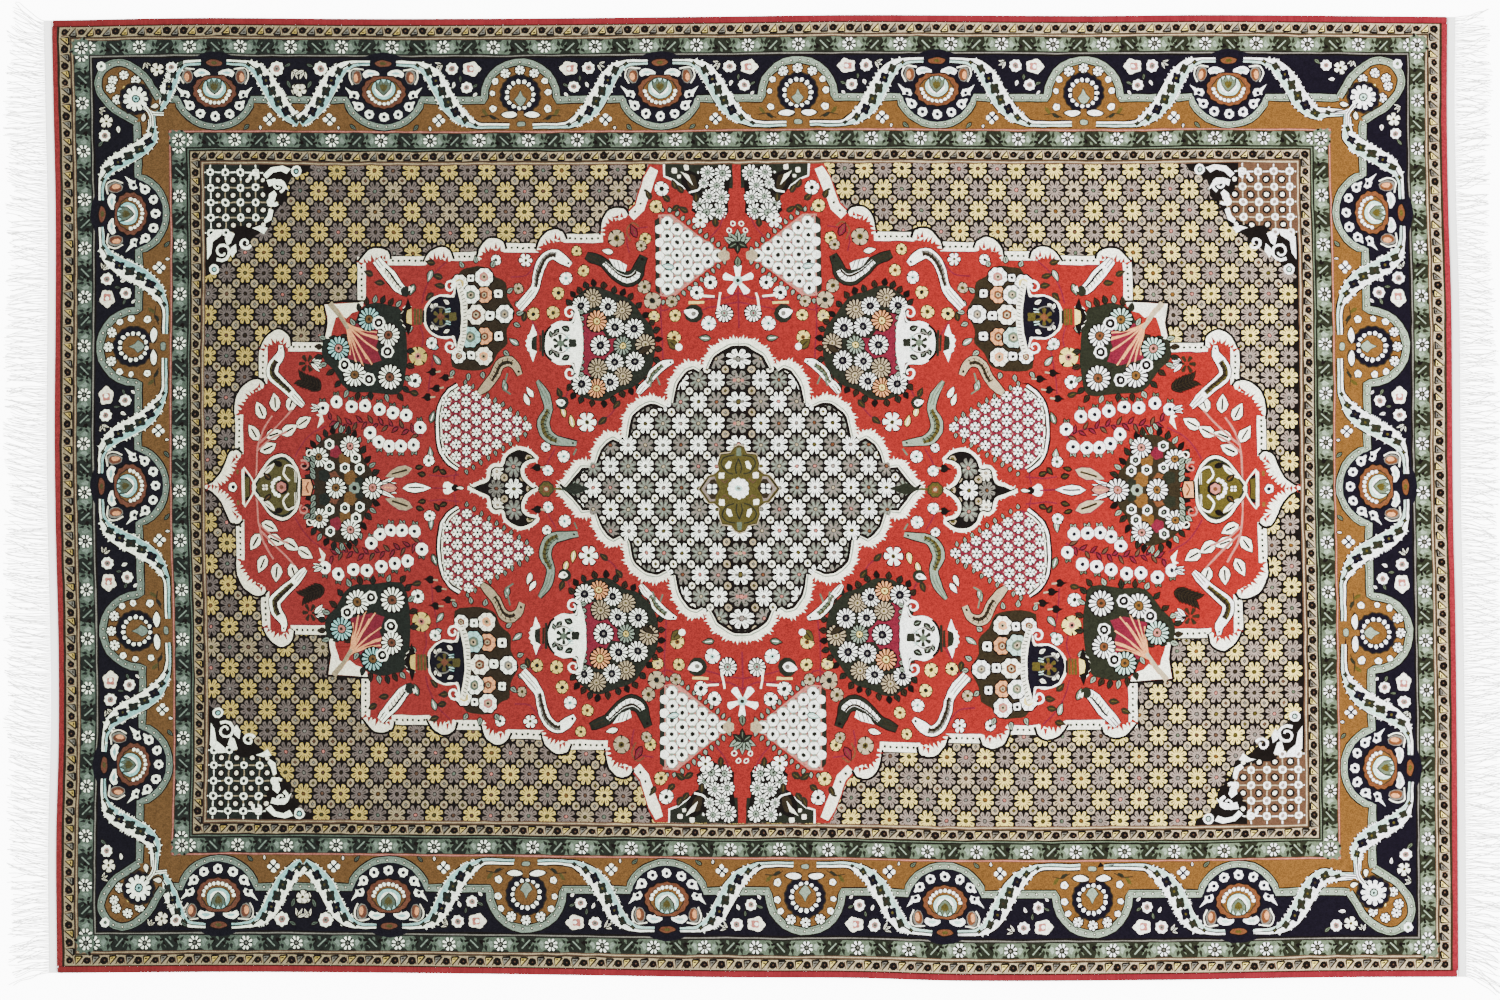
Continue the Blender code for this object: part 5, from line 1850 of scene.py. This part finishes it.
def dyed(cartoon, points, triangles, top, colours):
    """Colour of each corner of each triangle: its yarn, blended from the yarn's colour in painted shade at
    the rug's left to its colour with painted sheen at the right, times the shape's tint.
    """
    shaded_and_sheen_lit = [(getattr(colours, n + "_dark")[:], getattr(colours, n + "_light")[:]) for n in YARN_NAMES]
    shaded_and_sheen_lit = np.array(shaded_and_sheen_lit)
    yarn, tint = np.repeat(cartoon.yarns[top], 3), np.repeat(cartoon.tints[top], 3)
    # painted light across the rug: from painted shade on the left to painted sheen on the right
    t = np.clip((points[triangles.ravel(), 0] + 560) / 1250, 0, 1)
    t = (t * t * (3 - 2 * t))[:, None]
    return (shaded_and_sheen_lit[yarn, 0] * (1 - t) + shaded_and_sheen_lit[yarn, 1] * t) * tint[:, None]


# ---------------------------------------------------------------- meshes and finishes

def coloured_mesh(name, spots, faces, colours, smooth=True):
    """A mesh object that carries its yarn's colour, given for each face or for each corner."""
    mesh = bpy.data.meshes.new(name)
    mesh.from_pydata(np.asarray(spots).tolist(), [], [list(f) for f in faces])
    layer = mesh.color_attributes.new("yarn", "FLOAT_COLOR", "CORNER")
    each = np.asarray(colours, float)
    if len(each) == len(faces):
        each = np.repeat(each, [len(f) for f in faces], axis=0)
    layer.data.foreach_set("color", np.column_stack((each, np.ones(len(each)))).ravel())
    mesh.polygons.foreach_set("use_smooth", [smooth] * len(faces))
    mesh.update()
    obj = bpy.data.objects.new(name, mesh)
    bpy.context.scene.collection.objects.link(obj)
    return obj


def settle(obj, material):
    """Gives a finished piece its material and body."""
    obj.data.materials.append(material)
    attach(obj, "root")
    return obj


def new_node(tree, kind, place, **settings):
    made = tree.nodes.new(kind)
    made.location = place
    for key, value in settings.items():
        setattr(made, key, value)
    return made


def math_node(tree, place, operation, *values):
    made = new_node(tree, "ShaderNodeMath", place, operation=operation)
    for socket, value in zip(made.inputs, values):
        if isinstance(value, (int, float)):
            socket.default_value = value
        else:
            tree.links.new(value, socket)
    return made.outputs[0]


def new_group(name, inputs, outputs):
    """An empty node group with named sockets, and its two end nodes."""
    group = bpy.data.node_groups.new(name, "ShaderNodeTree")
    for way, sockets in (("INPUT", inputs), ("OUTPUT", outputs)):
        for label, kind, value in sockets:
            socket = group.interface.new_socket(name=label, in_out=way, socket_type=kind)
            if value is not None:
                socket.default_value = value
    return group, new_node(group, "NodeGroupInput", (-900, 0)), new_node(group, "NodeGroupOutput", (700, 0))


COLOUR, NUMBER, VECTOR = "NodeSocketColor", "NodeSocketFloat", "NodeSocketVector"


def knot_grid_group():
    """Rows of knots: each knot a little lighter or darker, and a small round bump."""
    if "knot_grid" in bpy.data.node_groups:
        return bpy.data.node_groups["knot_grid"]
    tree, start, end = new_group(
        "knot_grid",
        (("Colour", COLOUR, (0.5, 0.5, 0.5, 1)), ("Place", VECTOR, None), ("Knot", NUMBER, KNOT),
         ("Uneven", NUMBER, 0.16), ("Cloudy", NUMBER, 0.08)),
        (("Colour", COLOUR, None), ("Height", NUMBER, None), ("Roughness", NUMBER, None)))
    link = tree.links.new
    per = math_node(tree, (-700, -200), "DIVIDE", 1.0, start.outputs["Knot"])
    grid = new_node(tree, "ShaderNodeVectorMath", (-560, -100), operation="SCALE")
    link(start.outputs["Place"], grid.inputs[0])
    link(per, grid.inputs["Scale"])
    cell = new_node(tree, "ShaderNodeVectorMath", (-400, -40), operation="FLOOR")
    link(grid.outputs[0], cell.inputs[0])
    chance = new_node(tree, "ShaderNodeTexWhiteNoise", (-250, -40), noise_dimensions="2D")
    link(cell.outputs[0], chance.inputs["Vector"])
    cloud = new_node(tree, "ShaderNodeTexNoise", (-400, 260))
    cloud.inputs["Scale"].default_value = 210.0
    cloud.inputs["Detail"].default_value = 2.0
    link(start.outputs["Place"], cloud.inputs["Vector"])
    apart = new_node(tree, "ShaderNodeSeparateXYZ", (-400, -260))
    link(grid.outputs[0], apart.inputs[0])
    waves = []
    for axis, y in ((0, -220), (1, -340)):
        turns = math_node(tree, (-320, y), "MULTIPLY", apart.outputs[axis], math.pi)
        sine = math_node(tree, (-250, y), "SINE", turns)
        waves.append(math_node(tree, (-100, y), "ABSOLUTE", sine))
    bump = math_node(tree, (60, -260), "MULTIPLY", *waves)
    uneven = math_node(tree, (60, 0), "MULTIPLY_ADD", chance.outputs["Value"], start.outputs["Uneven"], 1.0)
    cloudy = math_node(tree, (60, 180), "MULTIPLY_ADD", cloud.outputs["Fac"], start.outputs["Cloudy"],
                       uneven)
    half = math_node(tree, (60, 80), "MULTIPLY",
                     math_node(tree, (-60, 80), "ADD", start.outputs["Uneven"], start.outputs["Cloudy"]),
                     0.5)
    bright = math_node(tree, (220, 100), "SUBTRACT", cloudy, half)
    tone = new_node(tree, "ShaderNodeHueSaturation", (400, 120))
    link(start.outputs["Colour"], tone.inputs["Color"])
    link(bright, tone.inputs["Value"])
    link(tone.outputs[0], end.inputs["Colour"])
    link(math_node(tree, (400, -240), "MULTIPLY_ADD", chance.outputs["Value"], 0.4, bump),
         end.inputs["Height"])
    link(math_node(tree, (400, -60), "MULTIPLY_ADD", chance.outputs["Value"], 0.2, 0.55),
         end.inputs["Roughness"])
    return tree


def twist_group():
    """Spun yarn: fine slanting fibres with a little dirt and shade between them."""
    if "yarn_twist" in bpy.data.node_groups:
        return bpy.data.node_groups["yarn_twist"]
    tree, start, end = new_group(
        "yarn_twist",
        (("Colour", COLOUR, (0.5, 0.5, 0.5, 1)), ("Place", VECTOR, None), ("Fibres", NUMBER, 900.0),
         ("Uneven", NUMBER, 0.2)),
        (("Colour", COLOUR, None), ("Height", NUMBER, None), ("Roughness", NUMBER, None)))
    link = tree.links.new
    turn = new_node(tree, "ShaderNodeMapping", (-640, -60))
    turn.inputs["Rotation"].default_value = (0.0, 0.0, 0.6)
    turn.inputs["Scale"].default_value = (1.0, 0.25, 1.0)
    link(start.outputs["Place"], turn.inputs["Vector"])
    fibre = new_node(tree, "ShaderNodeTexNoise", (-420, -60))
    link(turn.outputs[0], fibre.inputs["Vector"])
    link(start.outputs["Fibres"], fibre.inputs["Scale"])
    fibre.inputs["Detail"].default_value = 2.0
    cloud = new_node(tree, "ShaderNodeTexNoise", (-420, 220))
    cloud.inputs["Scale"].default_value = 55.0
    link(start.outputs["Place"], cloud.inputs["Vector"])
    both = math_node(tree, (-160, 80), "ADD", fibre.outputs["Fac"], cloud.outputs["Fac"])
    level = math_node(tree, (-20, 80), "SUBTRACT", both, 1.0)
    bright = math_node(tree, (120, 80), "MULTIPLY_ADD", level, start.outputs["Uneven"], 1.0)
    tone = new_node(tree, "ShaderNodeHueSaturation", (400, 120))
    link(start.outputs["Colour"], tone.inputs["Color"])
    link(bright, tone.inputs["Value"])
    link(tone.outputs[0], end.inputs["Colour"])
    link(fibre.outputs["Fac"], end.inputs["Height"])
    link(math_node(tree, (400, -60), "MULTIPLY_ADD", fibre.outputs["Fac"], 0.2, 0.6),
         end.inputs["Roughness"])
    return tree


def yarn_material(name, group, settings, sheen, bump_strength, bump_distance):
    """A material whose colour comes from the mesh's yarn attribute, worked over by a node group."""
    if name in bpy.data.materials:
        return bpy.data.materials[name]
    material = bpy.data.materials.new(name)
    material.use_nodes = True
    tree = material.node_tree
    link = tree.links.new
    shader = tree.nodes["Principled BSDF"]
    shader.inputs["Specular IOR Level"].default_value = 0.01
    shader.inputs["Sheen Weight"].default_value = sheen
    shader.inputs["Sheen Roughness"].default_value = 0.3
    colour = new_node(tree, "ShaderNodeAttribute", (-700, 200), attribute_name="yarn")
    place = new_node(tree, "ShaderNodeTexCoord", (-700, -100))
    work = new_node(tree, "ShaderNodeGroup", (-450, 100), node_tree=group)
    link(colour.outputs["Color"], work.inputs["Colour"])
    link(place.outputs["Object"], work.inputs["Place"])
    for label, value in settings.items():
        work.inputs[label].default_value = value
    bump = new_node(tree, "ShaderNodeBump", (-220, -150))
    bump.inputs["Strength"].default_value = bump_strength
    bump.inputs["Distance"].default_value = bump_distance
    link(work.outputs["Height"], bump.inputs["Height"])
    link(bump.outputs["Normal"], shader.inputs["Normal"])
    link(work.outputs["Colour"], shader.inputs["Base Color"])
    link(work.outputs["Roughness"], shader.inputs["Roughness"])
    return material


def pile_material():
    return yarn_material("silk_pile", knot_grid_group(), {"Uneven": 0.5, "Cloudy": 0.6}, 0.01, 0.4, 0.0003)


def back_material():
    return yarn_material("rug_back", knot_grid_group(), {"Uneven": 0.34, "Cloudy": 0.2}, 0.0, 0.7, 0.0004)


def overcast_material():
    return yarn_material("overcast_yarn", twist_group(), {"Fibres": 900.0, "Uneven": 0.5}, 0.01, 0.4, 0.0003)


def cotton_material():
    return yarn_material("warp_cotton", twist_group(), {"Fibres": 1400.0, "Uneven": 0.3}, 0.0, 0.3, 0.0002)


# ---------------------------------------------------------------- what a user may change

class RugSizes(bpy.types.PropertyGroup):
    """Sizes and counts of the pile's surface, the cords and the fringe."""

    drift: FloatProperty(name="Drift", description="How far knots sit off the drawn line, in knots",
                         default=0.35)
    swell: FloatProperty(name="Swell", description="Unevenness of the pile's height", default=0.00012,
                         unit="LENGTH", precision=5)
    pile_drop: FloatProperty(name="Pile drop", description="How far the pile rolls off at its edge",
                             default=0.0011,
                             unit="LENGTH", precision=5)
    wrap_pitch: FloatProperty(name="Wrap pitch", description="From one wrap of a side cord to the next",
                              default=0.0015, unit="LENGTH", precision=5)
    strand: FloatProperty(name="Strand", description="Thickness of a fringe strand", default=0.0010,
                          unit="LENGTH", precision=5)
    strands: IntProperty(name="Strands", description="Strands in each lock of the fringe", default=8, min=1,
                         max=16)


class RugColours(bpy.types.PropertyGroup):
    """Each yarn's colour in painted shade, used at the rug's left, and with painted sheen, used at its
    right.
    """

    cotton: FloatVectorProperty(name="Cotton", description="Warp ends and webs", subtype="COLOR", min=0,
                                max=1,
                                default=dye(shade("#E4E7EC")))


def add_yarn_colours():
    for yarn, pair in YARN_TABLE.items():
        for side, text in zip(("dark", "light"), pair):
            label = yarn.replace("_", " ").capitalize()
            # dark is the yarn's colour in painted shade, light its colour with painted sheen
            RugColours.__annotations__[f"{yarn}_{side}"] = FloatVectorProperty(
                name=f"{label} {side}", description=f"{label} yarn on the {side} side of the rug",
                subtype="COLOR", min=0, max=1, default=dye(shade(text)))


add_yarn_colours()


# ---------------------------------------------------------------- the pieces

ROWS = ("near", "middle", "far")
CUTS_Y = (-BODY_Y, -152.0, 168.0, BODY_Y)
COLUMNS = ("left", "left_half", "centre", "right_half", "right")
CUTS_X = (-BODY_X, -405.0, -190.0, 160.0, 385.0, BODY_X)


def pile_height(points, sizes):
    """Height of the pile's surface over the floor."""
    x, y = points[:, 0], points[:, 1]
    swell = 0.6 * soft_noise(x, y, 55.0, 12) + 0.4 * soft_noise(x, y, 9.0, 13)
    edge = 1 - np.clip(to_rim(points) / 1.1, 0, 1)
    return PILE_TOP + sizes.swell * (swell - 0.4) - sizes.pile_drop * (1 - np.sqrt(1 - 0.999 * edge ** 2))


class RUG_OT_pile(bpy.types.Operator):
    """Builds the knotted pile with its whole design, in pieces that meet edge to edge"""

    bl_idname = "rug.pile"
    bl_label = "Pile"

    def execute(self, context):
        sizes, colours = context.scene.rug_sizes, context.scene.rug_colours
        cartoon = drawn()
        keep = np.ones(len(cartoon.shapes), bool)
        for row, (y0, y1) in zip(ROWS, zip(CUTS_Y, CUTS_Y[1:])):
            for column, (x0, x1) in zip(COLUMNS, zip(CUTS_X, CUTS_X[1:])):
                points, triangles, top = weave(cartoon, (x0, y0), (x1, y1), keep)
                paint = dyed(cartoon, points, triangles, top, colours)
                moved = drift(points, sizes.drift)
                spots = np.column_stack((lay(moved), pile_height(moved, sizes)))
                obj = coloured_mesh(f"pile_{row}_{column}", spots, triangles, paint)
                settle(obj, pile_material())
                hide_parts("rug_body")
        return {"FINISHED"}


class RUG_OT_back(bpy.types.Operator):
    """Builds the foundation under the pile, with the design's large shapes on its underside"""

    bl_idname = "rug.back"
    bl_label = "Back"

    def execute(self, context):
        colours = context.scene.rug_colours
        cartoon = drawn()
        keep = np.prod(cartoon.high - cartoon.low, axis=1) > 110
        points, triangles, top = weave(cartoon, (-BODY_X, -BODY_Y), (BODY_X, BODY_Y), keep)
        paint = dyed(cartoon, points, triangles, top, colours) * 0.85
        count = len(points)
        flat = lay(points)
        low = np.column_stack((flat, np.zeros(count)))
        counts = {}
        for a, b, c in triangles.tolist():
            for edge in ((a, b), (b, c), (c, a)):
                counts[edge] = counts.get(edge, 0) + 1
        rim = [edge for edge in counts if (edge[1], edge[0]) not in counts]
        after = dict(rim)
        loop = [rim[0][0]]
        while after[loop[-1]] != loop[0]:
            loop.append(after[loop[-1]])
        upper = np.column_stack((flat[loop], np.full(len(loop), BACK_TOP - 0.0001)))
        faces = [(a, c, b) for a, b, c in triangles.tolist()]
        faces += [(loop[i], loop[(i + 1) % len(loop)], count + (i + 1) % len(loop), count + i)
                  for i in range(len(loop))]
        faces.append(tuple(range(count, count + len(loop))))
        red = np.array(colours.edge_red_dark[:])
        paint = np.vstack((paint, np.tile(red, (len(loop) * 5, 1))))
        obj = coloured_mesh("foundation", np.vstack((low, upper)), faces, paint, False)
        settle(obj, back_material())
        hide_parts("rug_body")
        return {"FINISHED"}


def rings_to_tube(rings, closed_ends=True):
    """Faces of a tube through rings of equal length, numbered from 0."""
    count, sides = len(rings), len(rings[0])
    faces = []
    for i in range(count - 1):
        for j in range(sides):
            k = (j + 1) % sides
            faces.append((i * sides + j, i * sides + k, (i + 1) * sides + k, (i + 1) * sides + j))
    if closed_ends:
        faces.append(tuple(range(sides))[::-1])
        faces.append(tuple(range((count - 1) * sides, count * sides)))
    return faces


class RUG_OT_side_cords(bpy.types.Operator):
    """Builds the two cords overcast in red yarn, wrap by wrap"""

    bl_idname = "rug.side_cords"
    bl_label = "Side cords"

    def execute(self, context):
        sizes, colours = context.scene.rug_sizes, context.scene.rug_colours
        turn = np.arange(12) * TAU / 12
        out, up = (np.sign(w) * np.abs(w) ** 0.6 for w in (np.cos(turn), np.sin(turn)))
        up = (1 + up) / 2
        for node, outwards, seed in (("side_cord_far", 1, 31), ("side_cord_near", -1, 37)):
            low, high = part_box(node)
            chance = np.random.default_rng(seed)
            count = int((high.x - low.x) / sizes.wrap_pitch)
            steps = np.linspace(low.x + 0.0012, high.x - 0.0012, count * 2 + 1)
            places = np.linspace(low.x + 0.002, high.x - 0.002, 90)
            span = reach(node, 0, places)
            inner, outer = np.interp(steps, places, span[:, 0]), np.interp(steps, places, span[:, 1])
            inner, outer = inner - LAP * (outwards > 0), outer + LAP * (outwards < 0)
            middle, half = (inner + outer) / 2, (outer - inner) / 2
            rings, tone_and_groove_shade = [], []
            for i, x in enumerate(steps):
                full = (1.0 if i % 2 else 0.9) + chance.uniform(-0.02, 0.02)
                lean = 0.0006 * np.sin(turn) * outwards
                ring = np.column_stack((x + lean, middle[i] - outwards * half[i] * out * full,
                                        high.z * (0.5 + (up - 0.5) * full) - high.z * (1 - full) * 0.5))
                rings.append(ring)
                # random tone of each wrap, and painted shade on the narrow rings between wraps
                tone_and_groove_shade.append(1 + 0.10 * chance.uniform(-1, 1) - (0 if i % 2 else 0.12))
            faces = rings_to_tube(rings)
            if outwards > 0:
                faces = [f[::-1] for f in faces]
            # painted light along the cord: its red in painted shade at the left end and with painted sheen
            # at the right
            t = np.linspace(0, 1, len(rings))[:, None]
            painted_sheen_reds = (np.array(colours.edge_red_dark[:]) * (1 - t) + np.array(colours.edge_red_light[:]) * t)
            painted_sheen_reds = painted_sheen_reds * np.array(tone_and_groove_shade)[:, None]
            paint = np.vstack((np.repeat(painted_sheen_reds[:-1], len(turn), axis=0), painted_sheen_reds[:1], painted_sheen_reds[-1:]))
            obj = coloured_mesh(node + "_wraps", np.vstack(rings), faces, paint)
            settle(obj, overcast_material())
            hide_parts(node)
        return {"FINISHED"}


class RUG_OT_end_webs(bpy.types.Operator):
    """Builds the flat-woven strip beyond the pile at each end"""

    bl_idname = "rug.end_webs"
    bl_label = "End webs"

    def execute(self, context):
        cotton = np.array(context.scene.rug_colours.cotton[:])
        for node, seed, outwards in (("end_web_left", 41, -1), ("end_web_right", 43, 1)):
            low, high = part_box(node)
            chance = np.random.default_rng(seed)
            steps = np.linspace(low.y + 0.0004, high.y - 0.0004, 520)
            places = np.linspace(low.y + 0.001, high.y - 0.001, 80)
            span = reach(node, 1, places)
            inner, outer = np.interp(steps, places, span[:, 0]), np.interp(steps, places, span[:, 1])
            inner, outer = inner - LAP * (outwards > 0), outer + LAP * (outwards < 0)
            across = np.linspace(0, 1, 9)
            rings, paint = [], []
            for i, y in enumerate(steps):
                x = inner[i] + (outer[i] - inner[i]) * across
                rise = high.z * (0.82 + 0.14 * ((np.arange(9) + i) % 2) + chance.uniform(-0.03, 0.03, 9))
                rise[[0, -1]] *= 0.6
                top = np.column_stack((x, np.full(9, y), rise))
                floor = np.column_stack((x[[-1, 0]], (y, y), (0.0, 0.0)))
                rings.append(np.vstack((top, floor)))
                paint.extend(cotton * t for t in 1 + chance.uniform(-0.06, 0.06, 11))
            faces = rings_to_tube(rings)
            paint = paint[:len(faces) - 2] + [cotton, cotton]
            obj = coloured_mesh(node + "_weave", np.vstack(rings), faces, paint)
            settle(obj, cotton_material())
            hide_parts(node)
        return {"FINISHED"}


def lock_tips(node, outwards):
    """Tip of each of the CAD comb's locks."""
    spots = np.array([v.co[:] for v in frame["nodes"][node].data.vertices])
    reach_out = spots[:, 0] * outwards
    ys = np.linspace(spots[:, 1].min(), spots[:, 1].max(), 41)
    root = np.interp(spots[:, 1], ys, [reach_out[np.abs(spots[:, 1] - y) < 0.02].min() for y in ys])
    tips = spots[(reach_out - root > 0.018) & (spots[:, 2] > 0.0008)]
    tips = np.unique(np.round(tips[:, :2], 5), axis=0)
    tips = tips[np.argsort(tips[:, 1])]
    return (tips[0::2] + tips[1::2]) / 2


class RUG_OT_fringes(bpy.types.Operator):
    """Builds the loose warp ends: wavy cotton strands in locks"""

    bl_idname = "rug.fringes"
    bl_label = "Fringes"

    def execute(self, context):
        sizes = context.scene.rug_sizes
        cotton = np.array(context.scene.rug_colours.cotton[:])
        for node, web, outwards, seed in (("fringe_left", "end_web_left", -1, 51),
                                          ("fringe_right", "end_web_right", 1, 53)):
            low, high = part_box(node)
            wlow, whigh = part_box(web)
            places = np.linspace(wlow.y + 0.001, whigh.y - 0.001, 80)
            edge = reach(web, 1, places)[:, 1 if outwards > 0 else 0]
            chance = np.random.default_rng(seed)
            tips = lock_tips(node, outwards)
            count = len(tips)
            spacing = (whigh.y - wlow.y) / count
            spots, faces, paint = [], [], []
            t = np.linspace(0, 1, 10)
            for i, (tip_x, tip_y) in enumerate(tips):
                for k in range(sizes.strands):
                    share = (k + 0.5) / sizes.strands - 0.5
                    y0 = wlow.y + spacing * (i + 0.5 + share)
                    x0 = np.interp(y0, places, edge) - outwards * 0.0008
                    longer = 1 + chance.uniform(-0.14, 0.04)
                    x1 = x0 + (tip_x - x0) * longer
                    y1 = y0 + (tip_y - wlow.y - spacing * (i + 0.5)) + spacing * chance.normal(0, 0.5)
                    swing = chance.uniform(0.0004, 0.0018)
                    beats = chance.uniform(4, 9)
                    wave = swing * np.sin(t * beats + chance.uniform(0, TAU))
                    y = y0 + (y1 - y0) * t ** 1.4 + wave * np.minimum(t * 3, 1)
                    x = x0 + (x1 - x0) * t + outwards * 0.0006 * np.sin(t * 7 + chance.uniform(0, TAU)) * t
                    r = sizes.strand / 2 * np.linspace(1.0, 0.8, len(t))
                    z = 0.0003 + r + chance.uniform(0, 0.0008) * (1 - 0.6 * t)
                    x, y = np.clip(x, low.x, high.x), np.clip(y, wlow.y - 0.02, whigh.y + 0.02)
                    start = len(spots)
                    side = np.gradient(np.column_stack((x, y)), axis=0)
                    side /= np.linalg.norm(side, axis=1)[:, None]
                    for j in range(len(t)):
                        nx, ny = -side[j, 1] * r[j], side[j, 0] * r[j]
                        for c, s in ((0.0, 1.0), (0.87, -0.5), (-0.87, -0.5)):
                            spots.append((x[j] + nx * c, y[j] + ny * c, z[j] + r[j] * s))
                    tube = rings_to_tube([(0, 0, 0)] * len(t))
                    faces.extend(tuple(start + v for v in f)[::-1] for f in tube)
                    # painted shade: each strand darkened by a random amount, down to 0.4, for the shadows
                    # between strands
                    paint.extend([cotton * chance.uniform(0.4, 1.0)] * len(tube))
            obj = coloured_mesh(node + "_strands", spots, faces, paint)
            settle(obj, cotton_material())
            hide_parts(node)
        return {"FINISHED"}


class RUG_OT_stage(bpy.types.Operator):
    """Sets up the pale floor, the soft studio light and the camera straight above"""

    bl_idname = "rug.stage"
    bl_label = "Stage"

    def execute(self, context):
        mesh = bpy.data.meshes.new("floor")
        mesh.from_pydata([(-9, -9, -0.0003), (9, -9, -0.0003), (9, 9, -0.0003), (-9, 9, -0.0003)], [],
                         [(0, 1, 2, 3)])
        floor = bpy.data.objects.new("floor", mesh)
        context.scene.collection.objects.link(floor)
        material = bpy.data.materials.new("pale_floor")
        material.use_nodes = True
        shader = material.node_tree.nodes["Principled BSDF"]
        shader.inputs["Base Color"].default_value = (0.9, 0.9, 0.9, 1)
        shader.inputs["Emission Color"].default_value = (1, 1, 1, 1)
        shader.inputs["Emission Strength"].default_value = FLOOR_GLOW
        shader.inputs["Roughness"].default_value = 0.9
        shader.inputs["Specular IOR Level"].default_value = 0.1
        mesh.materials.append(material)
        floor.visible_diffuse = floor.visible_glossy = False
        world = context.scene.world or bpy.data.worlds.new("studio")
        context.scene.world = world
        world.use_nodes = True
        world.node_tree.nodes["Background"].inputs["Color"].default_value = (1, 1, 1, 1)
        world.node_tree.nodes["Background"].inputs["Strength"].default_value = LIGHT
        for x, y in SOFTBOXES:
            lamp = bpy.data.lights.new("softbox", "AREA")
            lamp.energy = SOFTBOX_POWER
            lamp.size = SOFTBOX_WIDE
            obj = bpy.data.objects.new("softbox", lamp)
            obj.location = (x, y, SOFTBOX_HIGH)
            obj.rotation_euler = (-obj.location).to_track_quat("-Z", "Y").to_euler()
            context.scene.collection.objects.link(obj)
        data = bpy.data.cameras.new("camera")
        camera = bpy.data.objects.new("camera", data)
        data.sensor_width = 36
        data.lens = data.sensor_width * (CAMERA_HIGH - PILE_TOP) / (VIEW_WIDE * KNOT)
        data.clip_start, data.clip_end = 0.1, 50
        far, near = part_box("side_cord_far")[1].y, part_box("side_cord_near")[0].y
        middle_x = (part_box("end_web_left")[0].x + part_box("end_web_right")[1].x) / 2
        camera.location = (middle_x - VIEW_ASIDE * KNOT, (far + near) / 2 - VIEW_NEARER * KNOT, CAMERA_HIGH)
        context.scene.collection.objects.link(camera)
        context.scene.camera = camera
        return {"FINISHED"}


class RUG_PT_panel(bpy.types.Panel):
    """Lists the steps that build the rug"""

    bl_label = "Rug"
    bl_idname = "RUG_PT_panel"
    bl_space_type = "VIEW_3D"
    bl_region_type = "UI"
    bl_category = "Rug"

    def draw(self, context):
        column = self.layout.column()
        for operator in OPERATORS:
            column.operator(operator.bl_idname)
        for group in (context.scene.rug_sizes, context.scene.rug_colours):
            for name in group.bl_rna.properties.keys():
                if name not in ("rna_type", "name"):
                    column.prop(group, name)


OPERATORS = (RUG_OT_pile, RUG_OT_back, RUG_OT_side_cords, RUG_OT_end_webs, RUG_OT_fringes, RUG_OT_stage)


def register():
    for made in (RugSizes, RugColours) + OPERATORS + (RUG_PT_panel,):
        bpy.utils.register_class(made)
    bpy.types.Scene.rug_sizes = PointerProperty(type=RugSizes)
    bpy.types.Scene.rug_colours = PointerProperty(type=RugColours)


def unregister():
    del bpy.types.Scene.rug_colours
    del bpy.types.Scene.rug_sizes
    for made in ((RugSizes, RugColours) + OPERATORS + (RUG_PT_panel,))[::-1]:
        bpy.utils.unregister_class(made)


def main():
    register()
    bpy.ops.rug.pile()
    bpy.ops.rug.back()
    bpy.ops.rug.side_cords()
    bpy.ops.rug.end_webs()
    bpy.ops.rug.fringes()
    bpy.ops.rug.stage()
    objects = bpy.data.objects
    others = [objects[f"pile_{row}_{column}"] for row in ROWS for column in COLUMNS]
    others += [objects[n] for n in ("side_cord_far_wraps", "side_cord_near_wraps", "end_web_left_weave",
                                    "end_web_right_weave", "fringe_left_strands", "fringe_right_strands")]


if __name__ == "__main__":
    main()
